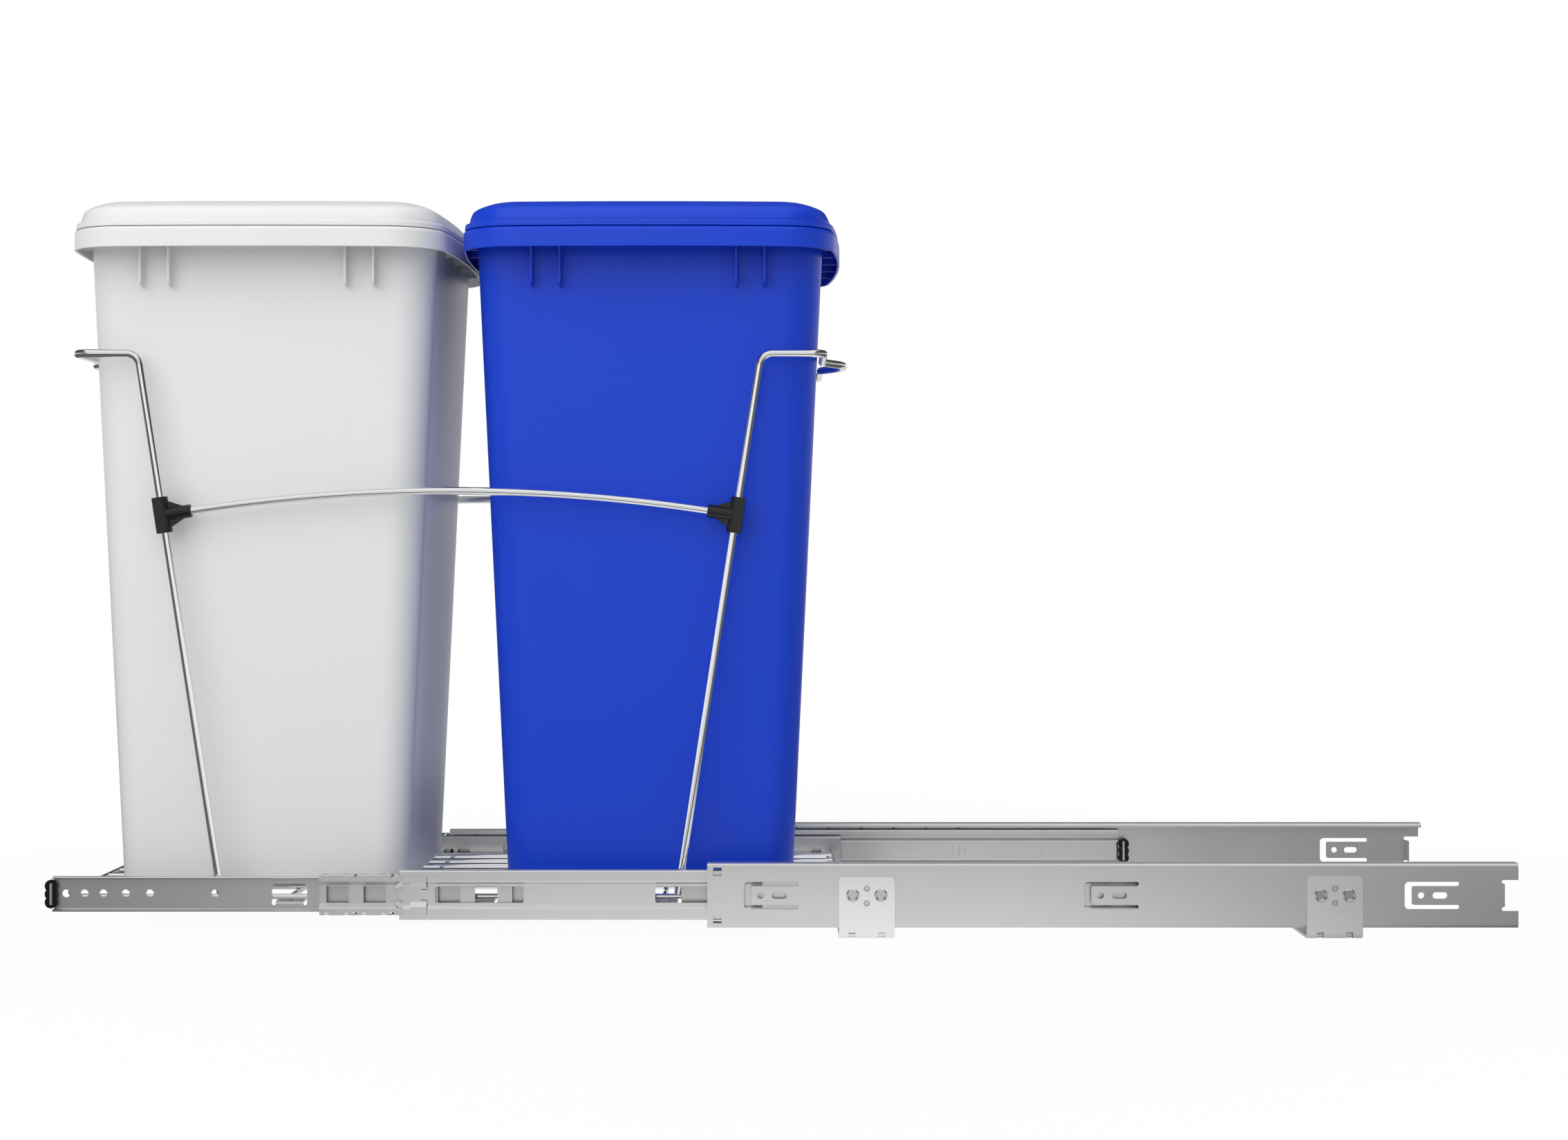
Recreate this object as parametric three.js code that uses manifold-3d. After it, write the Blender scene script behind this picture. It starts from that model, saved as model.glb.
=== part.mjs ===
// Pull-out waste unit: two lidded bins in a chromed wire cradle on full-extension ball-bearing slides.
// The slides stand on two cross rails that are screwed to the floor of a kitchen base cabinet.
// Millimetres. +X runs to the back of the cabinet, +Y to its left, +Z up.
// The origin is the middle of the front cross rail's underside. The unit is drawn pulled out.

import * as THREE from 'three';
import { mergeVertices } from 'three/addons/utils/BufferGeometryUtils.js';
import Module from 'manifold-3d';

const wasm = await Module();
wasm.setup();

// ---- Driving dimensions ----

// Slides: lengths and places along X
const SLIDE_LENGTH = 558.8;
const CABINET_FRONT = -109.9;
const PULLED_OUT = 453.1;
const INTERMEDIATE_LENGTH = 531.3;
const INTERMEDIATE_SETBACK = 14;
const DRAWER_LENGTH = 551;
const INNER_CAGE_LENGTH = 200;
const INNER_CAGE_SETBACK = 71;
const OUTER_CAGE_LENGTH = 170;
const OUTER_CAGE_SETBACK = 151.2;

// Slides: cross-section
const SLIDE_SPREAD = 294;
const SLIDE_DEPTH = 12.7;
const SLIDE_HEIGHT = 44.8;
const SLIDE_LIFT = 7.1;
const SLIDE_SHEET = 1.2;
const MEMBER_BEND = 1.56;
const TIGHT_BEND = 1.08;
const CAGE_SHEET = 0.5;
const BALL_DIAMETER = 3.3;
const BALL_PLAY = 0.3;
const BALL_PITCH = 25.7;
const BALL_SIDES = 5;
const BALL_RINGS = 3;
const RUNNING_GAP = 0.4;
const CABINET_LIP = 3.5;
const INTERMEDIATE_LIP = 4;
const RECESS_DEPTH = 2;
const RECESS_HEIGHT = 17;

// Cross rails and their rivets
const RAIL_WIDTH = 38.5;
const RAIL_PITCH = 322.2;
const RAIL_SHEET = 1.6;
const RAIL_BEND = 3.3;
const EAR_HEIGHT = 42.5;
const EAR_CORNER = 2.8;
const RIVET_PITCH = 19.4;
const RIVET_HEIGHT = 29.7;
const RIVET_HEAD = 9.2;
const RIVET_BARREL = 6.8;
const RIVET_SHANK = 4.8;
const RIVET_PROUD = 0.8;
const RIVET_WALL = 0.4;
const PILOT_HOLE = 4.3;
const PILOT_TOP = 34.5;
const PILOT_PITCH = 10.1;
const PILOT_COUNT = 3;
const GUSSET_WIDTH = 4.7;
const GUSSET_PITCH = 20.3;
const GUSSET_REACH = 4.9;
const FLOOR_SCREW_HOLE = 4.5;
const FLOOR_SCREW_PITCH = 75;
const FLOOR_SCREW_COUNT = 4;

// Cuts in the cabinet member's web
const WINDOW_SETBACK = 4.1;
const WINDOW_LENGTH = 5.8;
const WINDOW_FOOT = 13.5;
const WINDOW_TOP = 19.2;
const DIMPLE_SETBACK = 10;
const DIMPLE_DIAMETER = 6.6;
const DIMPLE_DEPTH = 0.5;
const TONGUE_SETBACKS = [25.3, 259.6, 480.4];
const TONGUE_LENGTH = 37.7;
const TONGUE_HEIGHT = 18.9;
const TONGUE_SLOT = 3;
const TONGUE_WEB = 5;
const TONGUE_HOLE_PLACE = 11.4;
const TONGUE_HOLE = 4.5;
const TONGUE_SLOT_PLACE = 19.2;
const TONGUE_SLOT_LENGTH = 10.3;
const PIP_COUNT = 2;
const PIP_HOLLOW = 2.8;
const PIP_HOLLOW_DEPTH = 0.8;
const PIP_PROUD = 1.2;
const REAR_NOTCH = 10.1;
const REAR_NOTCH_HEIGHT = 21.4;
const STOP_HEIGHT = 15.9;

// Cuts in the intermediate member's web, each as a setback from its front end and a length
const WEB_WINDOWS = [[24.6, 60.9], [176.6, 60.9]];
const WEB_WINDOW_HEIGHT = 11.2;
const WEB_POCKETS = [[358.7, 40.8], [428.8, 41.5]];
const WEB_POCKET_HEIGHT = 10.8;
const WEB_POCKET_DEPTH = 0.4;
const FRONT_NOTCH = 2.1;
const FRONT_NOTCH_HEIGHT = 25.4;
const NOSE_DIAMETER = 10.7;
const CATCH_SETBACK = 7.6;
const CATCH_LENGTH = 11.3;
const CATCH_SLOPE = 2.6;
const SLIT_WIDTH = 0.6;
const CATCH_TONGUE_LENGTH = 4;

// Cuts in the drawer member's web
const HOLE_SETBACKS = [8.4, 21.2, 34.2, 49.7, 66.5, 111.7];
const HOLE_DIAMETER = 5.5;
const OVAL_SETBACKS = [[240, 8], [252, 10], [531.6, 8]];
const SHELF_SETBACK = 163.2;
const SHELF_PITCH = 132;
const SHELF_COUNT = 3;
const SHELF_WINDOW_LENGTH = 24.5;
const SHELF_WINDOW_TOP = 7.4;
const SHELF_LENGTH = 19;
const SHELF_REACH = 11.5;
const SHELF_NOTCH = 2.6;

// Ball cages
const CAGE_WINDOW_LENGTH = 14.6;
const CAGE_WINDOW_HEIGHT = 11.6;
const CAGE_FIRST_BALL = 25;
const CAGE_INSET = 0.45;

// Rubber buffers
const BUFFER_LOBE = 8.4;
const BUFFER_LOBE_PITCH = 5.65;
const BUFFER_TAB_HEIGHT = 14.9;
const BUFFER_PROUD = 5.3;

// Cradle
const FRAME_WIRE = 5.6;
const TRAY_WIRE = 4;
const WELD_SINK = 0.3;
const TRAY_RIM_DROP = 0.8;
const ROD_OVERHANG = 0.8;
const CROSS_WIRE_OVERHANG = 1;
const TRAY_GAP = 0.7;
const TRAY_LENGTH = 532.7;
const TRAY_MIDDLE = 278.4;
const TRAY_WIRE_COUNT = 9;
const TRAY_CORNER = 12;
const TRAY_LEVEL = 30.3;
const CROSS_WIRE_PITCH = 62;
const LEG_INSET = 1.3;
const FRAME_MIDDLE = 273.5;
const RING_GAP = 2.8;
const RING_LEVEL = 404.3;
const RING_CORNER = 17;
const LEG_BEND = 13;
const LEG_SPLAY = 57.3;
const RING_OVERHANG = 43.9;
const PULL_WIDTH = 85;
const PULL_REACH = 16.5;
const PULL_BEND = 9;
const PULL_ROOT_BEND = 6.3;
const TEE_LEVEL = 291.9;
const TEE_LENGTH = 25;
const TEE_WIDTH = 10.3;
const TEE_BRANCH = 9.2;
const TEE_REACH = 20.1;
const TEE_WEB = 4;

// Bins
const BIN_SHIFT = 1.5;
const BIN_SIDE_GAP = 8.6;
const BIN_HEIGHT = 458.4;
const BIN_WALL = 2;
const BIN_TOP_LENGTH = 245;
const BIN_TOP_CORNER = 26;
const BIN_END_DRAFT = 21.5;
const BIN_SIDE_DRAFT = 9.1;
const BIN_FOOT_CORNER = 22;
const FOOT_FILLET = 3;
const RIM_END_REACH = 13.2;
const RIM_SIDE_REACH = 31.1;
const RIM_CORNER = 40;
const RIM_GAP = 1;
const RIM_END_RADIUS = 1160;
const RIM_SIDE_RADIUS = 1500;
const SKIRT_HEIGHT = 14.3;
const SKIRT_WALL = 1.8;
const RIM_SHOULDER = 2.8;
const FIN_THICKNESS = 1.6;
const FIN_REACH = 9.5;
const FIN_HEIGHT = 37.4;
const FIN_PLACES = [-81.2, -61.5, 61.5, 81.2];
const END_RIB_PITCH = 47;
const END_RIB_COUNT = 5;
const END_RIB_HEIGHT = 9;

// Lids
const LID_INSET = 1.2;
const LID_FLANGE = 4.2;
const LID_EDGE = 1.2;
const LID_WALL = 2;
const LID_LEDGE = 3.2;
const LID_LIP_DEPTH = 7;
const LID_LIP_PLAY = 1;
const LID_HOLLOW_INSET = 12;
// The dome from its foot inward: how far in from the ledge, and how far above the flange
const DOME = [[0, 0], [0.2, 2.7], [1.2, 5.7], [3, 8.8], [7.9, 11.6], [18.4, 14.9], [34, 16.6]];
const DOME_CROWN = 18.5;
const HOLLOW_RINGS = 4;

// Fits
const FIT = 0.3;
const OVERCUT = 1;

// ---- Values that follow from them ----

const SIDES = [{ side: 'right', sign: -1 }, { side: 'left', sign: 1 }];
const HALF_SPREAD = SLIDE_SPREAD / 2;
const SLIDE_LEVEL = SLIDE_LIFT + SLIDE_HEIGHT / 2;

// Each rolling piece moves by the mean of its two neighbours' travels.
const INTERMEDIATE_OUT = PULLED_OUT / 2;
const OUTER_CAGE_OUT = INTERMEDIATE_OUT / 2;
const INNER_CAGE_OUT = (INTERMEDIATE_OUT + PULLED_OUT) / 2;
const INTERMEDIATE_FRONT = CABINET_FRONT + INTERMEDIATE_SETBACK - INTERMEDIATE_OUT;
const DRAWER_FRONT = CABINET_FRONT - PULLED_OUT;
const INNER_CAGE_FRONT = CABINET_FRONT + INNER_CAGE_SETBACK - INNER_CAGE_OUT;
const OUTER_CAGE_FRONT = CABINET_FRONT + OUTER_CAGE_SETBACK - OUTER_CAGE_OUT;

// Depths are measured inward from the slide's outer face, half heights from its middle.
const RACE = BALL_DIAMETER + 2 * BALL_PLAY;
const CABINET_HALF = SLIDE_HEIGHT / 2;
const INTERMEDIATE_HALF = CABINET_HALF - SLIDE_SHEET - RACE;
const DRAWER_HALF = INTERMEDIATE_HALF - SLIDE_SHEET - RACE;
const CABINET_DEPTH = SLIDE_DEPTH - SLIDE_SHEET;
const INTERMEDIATE_DEPTH = CABINET_DEPTH - SLIDE_SHEET;
const OUTER_CAGE_FACE = SLIDE_SHEET + RUNNING_GAP;
const INTERMEDIATE_FACE = OUTER_CAGE_FACE + CAGE_SHEET + RUNNING_GAP;
const RECESS_FACE = INTERMEDIATE_FACE + RECESS_DEPTH;
const CAGE_BAND_FACE = INTERMEDIATE_FACE + SLIDE_SHEET + RUNNING_GAP;
const CAGE_WEB_FACE = RECESS_FACE + SLIDE_SHEET + RUNNING_GAP;
const DRAWER_TIP = CAGE_WEB_FACE + CAGE_SHEET + RUNNING_GAP;
const DRAWER_WEB = SLIDE_DEPTH - SLIDE_SHEET;
const INNER_BALL_LEVEL = DRAWER_HALF + RACE / 2;
const OUTER_BALL_LEVEL = INTERMEDIATE_HALF + RACE / 2;

const TRAY_SIDE = HALF_SPREAD - SLIDE_DEPTH - TRAY_GAP - TRAY_WIRE / 2;
const CROSS_WIRE_LEVEL = TRAY_LEVEL - TRAY_WIRE + WELD_SINK;
const BIN_FLOOR = TRAY_LEVEL + TRAY_WIRE / 2 + FIT;
const RIM_TOP = BIN_FLOOR + BIN_HEIGHT;
const RIM_UNDERSIDE = RIM_TOP - BIN_WALL;

// The bins stand between the legs, and the hoops' ring goes round both.
const FRAME_SPREAD = 2 * (TRAY_SIDE - LEG_INSET);
const FRAME_CENTRE = DRAWER_FRONT + FRAME_MIDDLE;
const BIN_CENTRE = FRAME_CENTRE + BIN_SHIFT;
const BIN_TOP_WIDTH = FRAME_SPREAD - FRAME_WIRE - 2 * BIN_SIDE_GAP;
const BIN_FOOT_WIDTH = BIN_TOP_WIDTH - 2 * BIN_SIDE_DRAFT;
const BIN_FOOT_LENGTH = BIN_TOP_LENGTH - 2 * BIN_END_DRAFT;
const RIM_WIDTH = BIN_TOP_WIDTH + 2 * RIM_SIDE_REACH;
const RIM_LENGTH = BIN_TOP_LENGTH + 2 * RIM_END_REACH;
const RING_SHARE = (RING_LEVEL - BIN_FLOOR) / (RIM_UNDERSIDE - BIN_FLOOR);
const BINS_AT_RING = RIM_LENGTH + RIM_GAP + BIN_FOOT_LENGTH + 2 * BIN_END_DRAFT * RING_SHARE;
const RING_LENGTH = BINS_AT_RING + 2 * RING_GAP + FRAME_WIRE;
const LEG_TOP_SPREAD = RING_LENGTH - 2 * RING_OVERHANG;
const LEG_FOOT_SPREAD = LEG_TOP_SPREAD - 2 * LEG_SPLAY;
const LEG_SLOPE = LEG_SPLAY / (RING_LEVEL - TRAY_LEVEL);
const LEG_LEAN = Math.atan(LEG_SLOPE);
const LEG_FOOT = TRAY_LEVEL + (TRAY_WIRE + FRAME_WIRE * LEG_SLOPE) / 2 + 2 * FIT;

// ---- Materials ----

const FINISHES = {
  zinc: { color: 0xb4b4b2, roughness: 0.38, metalness: 0.9 },
  rail: { color: 0xdcdddd, roughness: 0.35, metalness: 0.85 },
  cage: { color: 0xa6a8a6, roughness: 0.4, metalness: 0.85 },
  rivet: { color: 0xcfd0d0, roughness: 0.25, metalness: 1 },
  chrome: { color: 0xe8e9ea, roughness: 0.08, metalness: 1 },
  black: { color: 0x161617, roughness: 0.45, metalness: 0 },
  white: { color: 0xdcdfdf, roughness: 0.42, metalness: 0 },
  blue: { color: 0x1733c4, roughness: 0.4, metalness: 0 },
};

const group = new THREE.Group();

function addPiece(name, geometry, finish) {
  const piece = new THREE.Mesh(geometry, new THREE.MeshStandardMaterial(FINISHES[finish]));
  piece.name = name;
  group.add(piece);
  return piece;
}

// ---- Solids ----

function toSolid(geometry) {
  const bare = new THREE.BufferGeometry();
  bare.setAttribute('position', geometry.getAttribute('position'));
  bare.setIndex(geometry.index);
  const welded = mergeVertices(bare);
  return new wasm.Manifold(new wasm.Mesh({
    numProp: 3,
    vertProperties: new Float32Array(welded.getAttribute('position').array),
    triVerts: new Uint32Array(welded.index.array),
  }));
}

function toGeometry(solid) {
  const mesh = solid.getMesh();
  const geometry = new THREE.BufferGeometry();
  geometry.setAttribute('position', new THREE.BufferAttribute(mesh.vertProperties, 3));
  geometry.setIndex(new THREE.BufferAttribute(mesh.triVerts, 1));
  geometry.computeVertexNormals();
  return geometry;
}

function join(first, ...others) {
  return toGeometry(others.reduce((solid, other) => solid.add(toSolid(other)), toSolid(first)));
}

function cut(first, ...others) {
  return toGeometry(others.reduce((solid, other) => solid.subtract(toSolid(other)), toSolid(first)));
}

function box(x, y, z) {
  const [x0, x1] = x;
  const [y0, y1] = y;
  const [z0, z1] = z;
  const geometry = new THREE.BoxGeometry(Math.abs(x1 - x0), Math.abs(y1 - y0), Math.abs(z1 - z0));
  return geometry.translate((x0 + x1) / 2, (y0 + y1) / 2, (z0 + z1) / 2);
}

const X_AXIS = new THREE.Vector3(1, 0, 0);
const Y_AXIS = new THREE.Vector3(0, 1, 0);
const Z_AXIS = new THREE.Vector3(0, 0, 1);

function prism(outline, length) {
  const shape = new THREE.Shape(outline.map(([u, v]) => new THREE.Vector2(u, v)));
  return new THREE.ExtrudeGeometry(shape, { depth: length, steps: 1, bevelEnabled: false });
}

// An outline of (y, z) points, drawn out along X.
function prismAlongX(outline, [x0, x1]) {
  const basis = new THREE.Matrix4().makeBasis(Y_AXIS, Z_AXIS, X_AXIS);
  return prism(outline, x1 - x0).applyMatrix4(basis).translate(x0, 0, 0);
}

// An outline of (x, z) points, drawn out along Y.
function prismAlongY(outline, [y0, y1]) {
  const basis = new THREE.Matrix4().makeBasis(X_AXIS, Z_AXIS, Y_AXIS.clone().negate());
  return prism(outline, Math.abs(y1 - y0)).applyMatrix4(basis).translate(0, Math.max(y0, y1), 0);
}

function rodAlongY(diameter, x, z, [y0, y1], sides = 8) {
  const rod = new THREE.CylinderGeometry(diameter / 2, diameter / 2, Math.abs(y1 - y0), sides);
  return rod.translate(x, (y0 + y1) / 2, z);
}

// The outline of a folded strip: its middle line's corners are rounded to the bend radius.
function foldedStrip(corners, sheet, bend, steps = 3) {
  const left = [];
  const right = [];
  const put = (x, y, angle) => {
    const reach = [-Math.sin(angle) * sheet / 2, Math.cos(angle) * sheet / 2];
    left.push([x + reach[0], y + reach[1]]);
    right.unshift([x - reach[0], y - reach[1]]);
  };
  const heading = (a, b) => Math.atan2(b[1] - a[1], b[0] - a[0]);
  const last = corners.length - 1;
  put(...corners[0], heading(corners[0], corners[1]));
  for (let i = 1; i < last; i += 1) {
    const before = heading(corners[i - 1], corners[i]);
    const turn = Math.atan2(
      Math.sin(heading(corners[i], corners[i + 1]) - before),
      Math.cos(heading(corners[i], corners[i + 1]) - before),
    );
    const run = bend * Math.tan(Math.abs(turn) / 2);
    const hand = Math.sign(turn);
    const centre = [
      corners[i][0] - Math.cos(before) * run - hand * Math.sin(before) * bend,
      corners[i][1] - Math.sin(before) * run + hand * Math.cos(before) * bend,
    ];
    for (let k = 0; k <= steps; k += 1) {
      const angle = before + turn * k / steps;
      put(centre[0] + hand * Math.sin(angle) * bend, centre[1] - hand * Math.cos(angle) * bend, angle);
    }
  }
  put(...corners[last], heading(corners[last - 1], corners[last]));
  return [...left, ...right];
}

// ---- Bent wire ----

// A path that runs from station to station, so that each bend has its own short steps.
class WirePath extends THREE.Curve {
  constructor(stations) {
    super();
    this.stations = stations;
  }

  getPoint(t, target = new THREE.Vector3()) {
    const place = t * (this.stations.length - 1);
    const index = Math.min(Math.floor(place), this.stations.length - 2);
    return target.lerpVectors(this.stations[index], this.stations[index + 1], place - index);
  }

  getPointAt(u, target) {
    return this.getPoint(u, target);
  }

  getTangentAt(u, target = new THREE.Vector3()) {
    const last = this.stations.length - 1;
    const index = Math.round(u * last);
    const here = this.stations[index];
    target.set(0, 0, 0);
    if (index > 0) target.add(here.clone().sub(this.stations[index - 1]).normalize());
    if (index < last) target.add(this.stations[index + 1].clone().sub(here).normalize());
    return target.normalize();
  }
}

// Round wire is drawn with flats, and its width over the flats is its diameter.
const WIRE_SIDES = 8;
const OVER_CORNERS = 1 / Math.cos(Math.PI / WIRE_SIDES);

function sweepWire(stations, diameter) {
  const outline = [];
  for (let i = 0; i < WIRE_SIDES; i += 1) {
    const angle = 2 * Math.PI * (i + 0.5) / WIRE_SIDES;
    const corner = new THREE.Vector2(Math.cos(angle), Math.sin(angle));
    outline.push(corner.multiplyScalar(diameter / 2 * OVER_CORNERS));
  }
  return new THREE.ExtrudeGeometry(new THREE.Shape(outline), {
    steps: stations.length - 1,
    extrudePath: new WirePath(stations),
  });
}

// Corner points with a bend radius at each inner one, turned into stations.
function bendStations(corners, bends, stepAngle = Math.PI / 8) {
  const stations = [corners[0]];
  for (let i = 1; i < corners.length - 1; i += 1) {
    const arriving = corners[i].clone().sub(corners[i - 1]).normalize();
    const leaving = corners[i + 1].clone().sub(corners[i]).normalize();
    const turn = arriving.angleTo(leaving);
    const run = bends[i - 1] * Math.tan(turn / 2);
    const start = corners[i].clone().addScaledVector(arriving, -run);
    const end = corners[i].clone().addScaledVector(leaving, run);
    const inward = leaving.clone().sub(arriving).normalize();
    const centre = corners[i].clone().addScaledVector(inward, bends[i - 1] / Math.cos(turn / 2));
    const steps = Math.max(2, Math.ceil(turn / stepAngle));
    const fromStart = start.clone().sub(centre);
    const fromEnd = end.clone().sub(centre);
    for (let k = 0; k <= steps; k += 1) {
      const angle = turn * k / steps;
      stations.push(centre.clone()
        .addScaledVector(fromStart, Math.sin(turn - angle) / Math.sin(turn))
        .addScaledVector(fromEnd, Math.sin(angle) / Math.sin(turn)));
    }
  }
  stations.push(corners[corners.length - 1]);
  return stations;
}

// ---- Lofted shells ----

// A rounded rectangle whose sides and ends bulge on large radii, as a ring of points.
function bulgedRing(halfLength, halfWidth, corner, endRadius, sideRadius, cornerSteps = 4) {
  let cornerX = halfLength - corner;
  let cornerY = halfWidth - corner;
  for (let i = 0; i < 8; i += 1) {
    cornerX = halfLength - endRadius + Math.sqrt((endRadius - corner) ** 2 - cornerY ** 2);
    cornerY = halfWidth - sideRadius + Math.sqrt((sideRadius - corner) ** 2 - cornerX ** 2);
  }
  const first = Math.asin(cornerY / (endRadius - corner));
  const final = Math.PI / 2 - Math.asin(cornerX / (sideRadius - corner));
  const quarter = [[halfLength, 0]];
  for (let k = 0; k <= cornerSteps; k += 1) {
    const angle = first + (final - first) * k / cornerSteps;
    quarter.push([cornerX + corner * Math.cos(angle), cornerY + corner * Math.sin(angle)]);
  }
  const mirrored = quarter.slice(1).reverse().map(([x, y]) => [-x, y]);
  const half = [...quarter, [0, halfWidth], ...mirrored];
  return [...half, ...half.map(([x, y]) => [-x, -y])];
}

// Joins rings of equal count by quads and closes both ends, each to the middle of its own ring.
function loft(rings, x0) {
  const count = rings[0].points.length;
  const positions = [];
  const faces = [];
  for (const ring of rings) {
    for (const [x, y] of ring.points) positions.push(x0 + x, y, ring.z);
  }
  for (let level = 0; level < rings.length - 1; level += 1) {
    for (let i = 0; i < count; i += 1) {
      const a = level * count + i;
      const b = level * count + (i + 1) % count;
      faces.push(a, b, b + count, a, b + count, a + count);
    }
  }
  const startCap = positions.length / 3;
  positions.push(x0, 0, rings[0].z);
  const endCap = startCap + 1;
  positions.push(x0, 0, rings[rings.length - 1].centreZ ?? rings[rings.length - 1].z);
  const lastRing = (rings.length - 1) * count;
  for (let i = 0; i < count; i += 1) {
    const next = (i + 1) % count;
    faces.push(startCap, next, i);
    faces.push(endCap, lastRing + i, lastRing + next);
  }
  const geometry = new THREE.BufferGeometry();
  geometry.setAttribute('position', new THREE.Float32BufferAttribute(positions, 3));
  geometry.setIndex(faces);
  geometry.computeVertexNormals();
  return geometry;
}

// ---- Cross rails and rivets ----

function crossRail(x0) {
  const middle = HALF_SPREAD + FIT + RAIL_SHEET / 2;
  const floor = RAIL_SHEET / 2;
  const outer = middle + RAIL_SHEET / 2;
  const strip = foldedStrip(
    [[-middle, EAR_HEIGHT], [-middle, floor], [middle, floor], [middle, EAR_HEIGHT]],
    RAIL_SHEET,
    RAIL_BEND - RAIL_SHEET / 2,
  );
  const half = RAIL_WIDTH / 2;
  const earOutline = [[-half, -OVERCUT], [half, -OVERCUT]];
  for (const [side, start] of [[1, 0], [-1, Math.PI / 2]]) {
    for (let k = 0; k <= 3; k += 1) {
      const angle = start + Math.PI / 2 * k / 3;
      earOutline.push([
        side * (half - EAR_CORNER) + EAR_CORNER * Math.cos(angle),
        EAR_HEIGHT - EAR_CORNER + EAR_CORNER * Math.sin(angle),
      ]);
    }
  }
  const across = [-outer - OVERCUT, outer + OVERCUT];
  let rail = toSolid(prismAlongX(strip, [-half, half]));
  rail = rail.intersect(toSolid(prismAlongY(earOutline, across)));
  const ribReach = GUSSET_REACH + RAIL_SHEET * Math.SQRT2;
  for (const { sign } of SIDES) {
    for (const x of [-GUSSET_PITCH / 2, GUSSET_PITCH / 2]) {
      const ribHalf = GUSSET_WIDTH / 2 + RAIL_SHEET / 2;
      const rib = [[outer - RAIL_SHEET / 2, RAIL_SHEET / 2]];
      rib.push([outer - RAIL_SHEET / 2, ribReach - RAIL_SHEET / 2]);
      rib.push([outer - ribReach + RAIL_SHEET / 2, RAIL_SHEET / 2]);
      const dent = [[outer + OVERCUT, -OVERCUT]];
      dent.push([outer + OVERCUT, GUSSET_REACH + OVERCUT], [outer - GUSSET_REACH - OVERCUT, -OVERCUT]);
      const onSide = (outline) => outline.map(([y, z]) => [sign * y, z]);
      rail = rail.add(toSolid(prismAlongX(onSide(rib), [x - ribHalf, x + ribHalf])));
      const dentHalf = GUSSET_WIDTH / 2;
      rail = rail.subtract(toSolid(prismAlongX(onSide(dent), [x - dentHalf, x + dentHalf])));
    }
  }
  for (const x of [-RIVET_PITCH / 2, RIVET_PITCH / 2]) {
    rail = rail.subtract(toSolid(rodAlongY(RIVET_BARREL + 3 * FIT, x, RIVET_HEIGHT, across)));
  }
  for (let k = 0; k < PILOT_COUNT; k += 1) {
    rail = rail.subtract(toSolid(rodAlongY(PILOT_HOLE, 0, PILOT_TOP - k * PILOT_PITCH, across)));
  }
  for (let k = 0; k < FLOOR_SCREW_COUNT; k += 1) {
    const y = (k - (FLOOR_SCREW_COUNT - 1) / 2) * FLOOR_SCREW_PITCH;
    const hole = new THREE.CylinderGeometry(FLOOR_SCREW_HOLE / 2, FLOOR_SCREW_HOLE / 2, 4 * RAIL_SHEET, 8);
    hole.rotateX(Math.PI / 2).translate(0, y, 0);
    rail = rail.subtract(toSolid(hole));
  }
  return toGeometry(rail.translate([x0, 0, 0]));
}

addPiece('front_cross_rail', crossRail(0), 'rail');
addPiece('rear_cross_rail', crossRail(RAIL_PITCH), 'rail');

// A hollow rivet at a fixing point of an ear: head outside, barrel through the ear, shank in the web.
function railRivet(sign, x) {
  const headFace = FIT + RAIL_SHEET + FIT / 2;
  const head = RIVET_HEAD / 2;
  const bore = RIVET_BARREL / 2 - RIVET_WALL;
  const profile = [
    [0, -SLIDE_SHEET],
    [RIVET_SHANK / 2, -SLIDE_SHEET],
    [RIVET_SHANK / 2, FIT],
    [RIVET_BARREL / 2, FIT],
    [RIVET_BARREL / 2, headFace],
    [head, headFace],
    [head - RIVET_PROUD / 2, headFace + RIVET_PROUD],
    [bore + RIVET_PROUD / 2, headFace + RIVET_PROUD],
    [bore, headFace],
    [bore, FIT + RIVET_WALL],
    [0, FIT + RIVET_WALL],
  ];
  const rivet = new THREE.LatheGeometry(profile.map(([r, out]) => new THREE.Vector2(r, out)), 8);
  if (sign < 0) rivet.rotateZ(Math.PI);
  return join(rivet.translate(x, sign * HALF_SPREAD, RIVET_HEIGHT));
}

for (const { side, sign } of SIDES) {
  for (const [place, railX] of [['front', 0], ['rear', RAIL_PITCH]]) {
    for (const [order, offset] of [['a', -RIVET_PITCH / 2], ['b', RIVET_PITCH / 2]]) {
      addPiece(`${place}_rivet_${order}_${side}`, railRivet(sign, railX + offset), 'rivet');
    }
  }
}

// ---- Slides ----

// Turns a depth below one side's outer face into y.
function slideY(sign, depth) {
  return sign * (HALF_SPREAD - depth);
}

// An outline of (depth, height) points, drawn out along X.
function slidePrism(sign, outline, x) {
  return prismAlongX(outline.map(([depth, height]) => [slideY(sign, depth), SLIDE_LEVEL + height]), x);
}

function slideBox(sign, x, depth, height) {
  return box(x, depth.map((value) => slideY(sign, value)), height.map((value) => SLIDE_LEVEL + value));
}

function slideRod(sign, diameter, x, depth, height = 0) {
  return rodAlongY(diameter, x, SLIDE_LEVEL + height, depth.map((value) => slideY(sign, value)));
}

// A strip's middle line, given from its upper edge to its middle, with its mirror image below.
function mirrored(upper) {
  return [...upper, ...upper.slice().reverse().map(([depth, height]) => [depth, -height])];
}

const CABINET_REAR = CABINET_FRONT + SLIDE_LENGTH;
const INTERMEDIATE_REAR = INTERMEDIATE_FRONT + INTERMEDIATE_LENGTH;
const STOP_REACH = DRAWER_WEB - RUNNING_GAP - SLIDE_SHEET;

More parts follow.
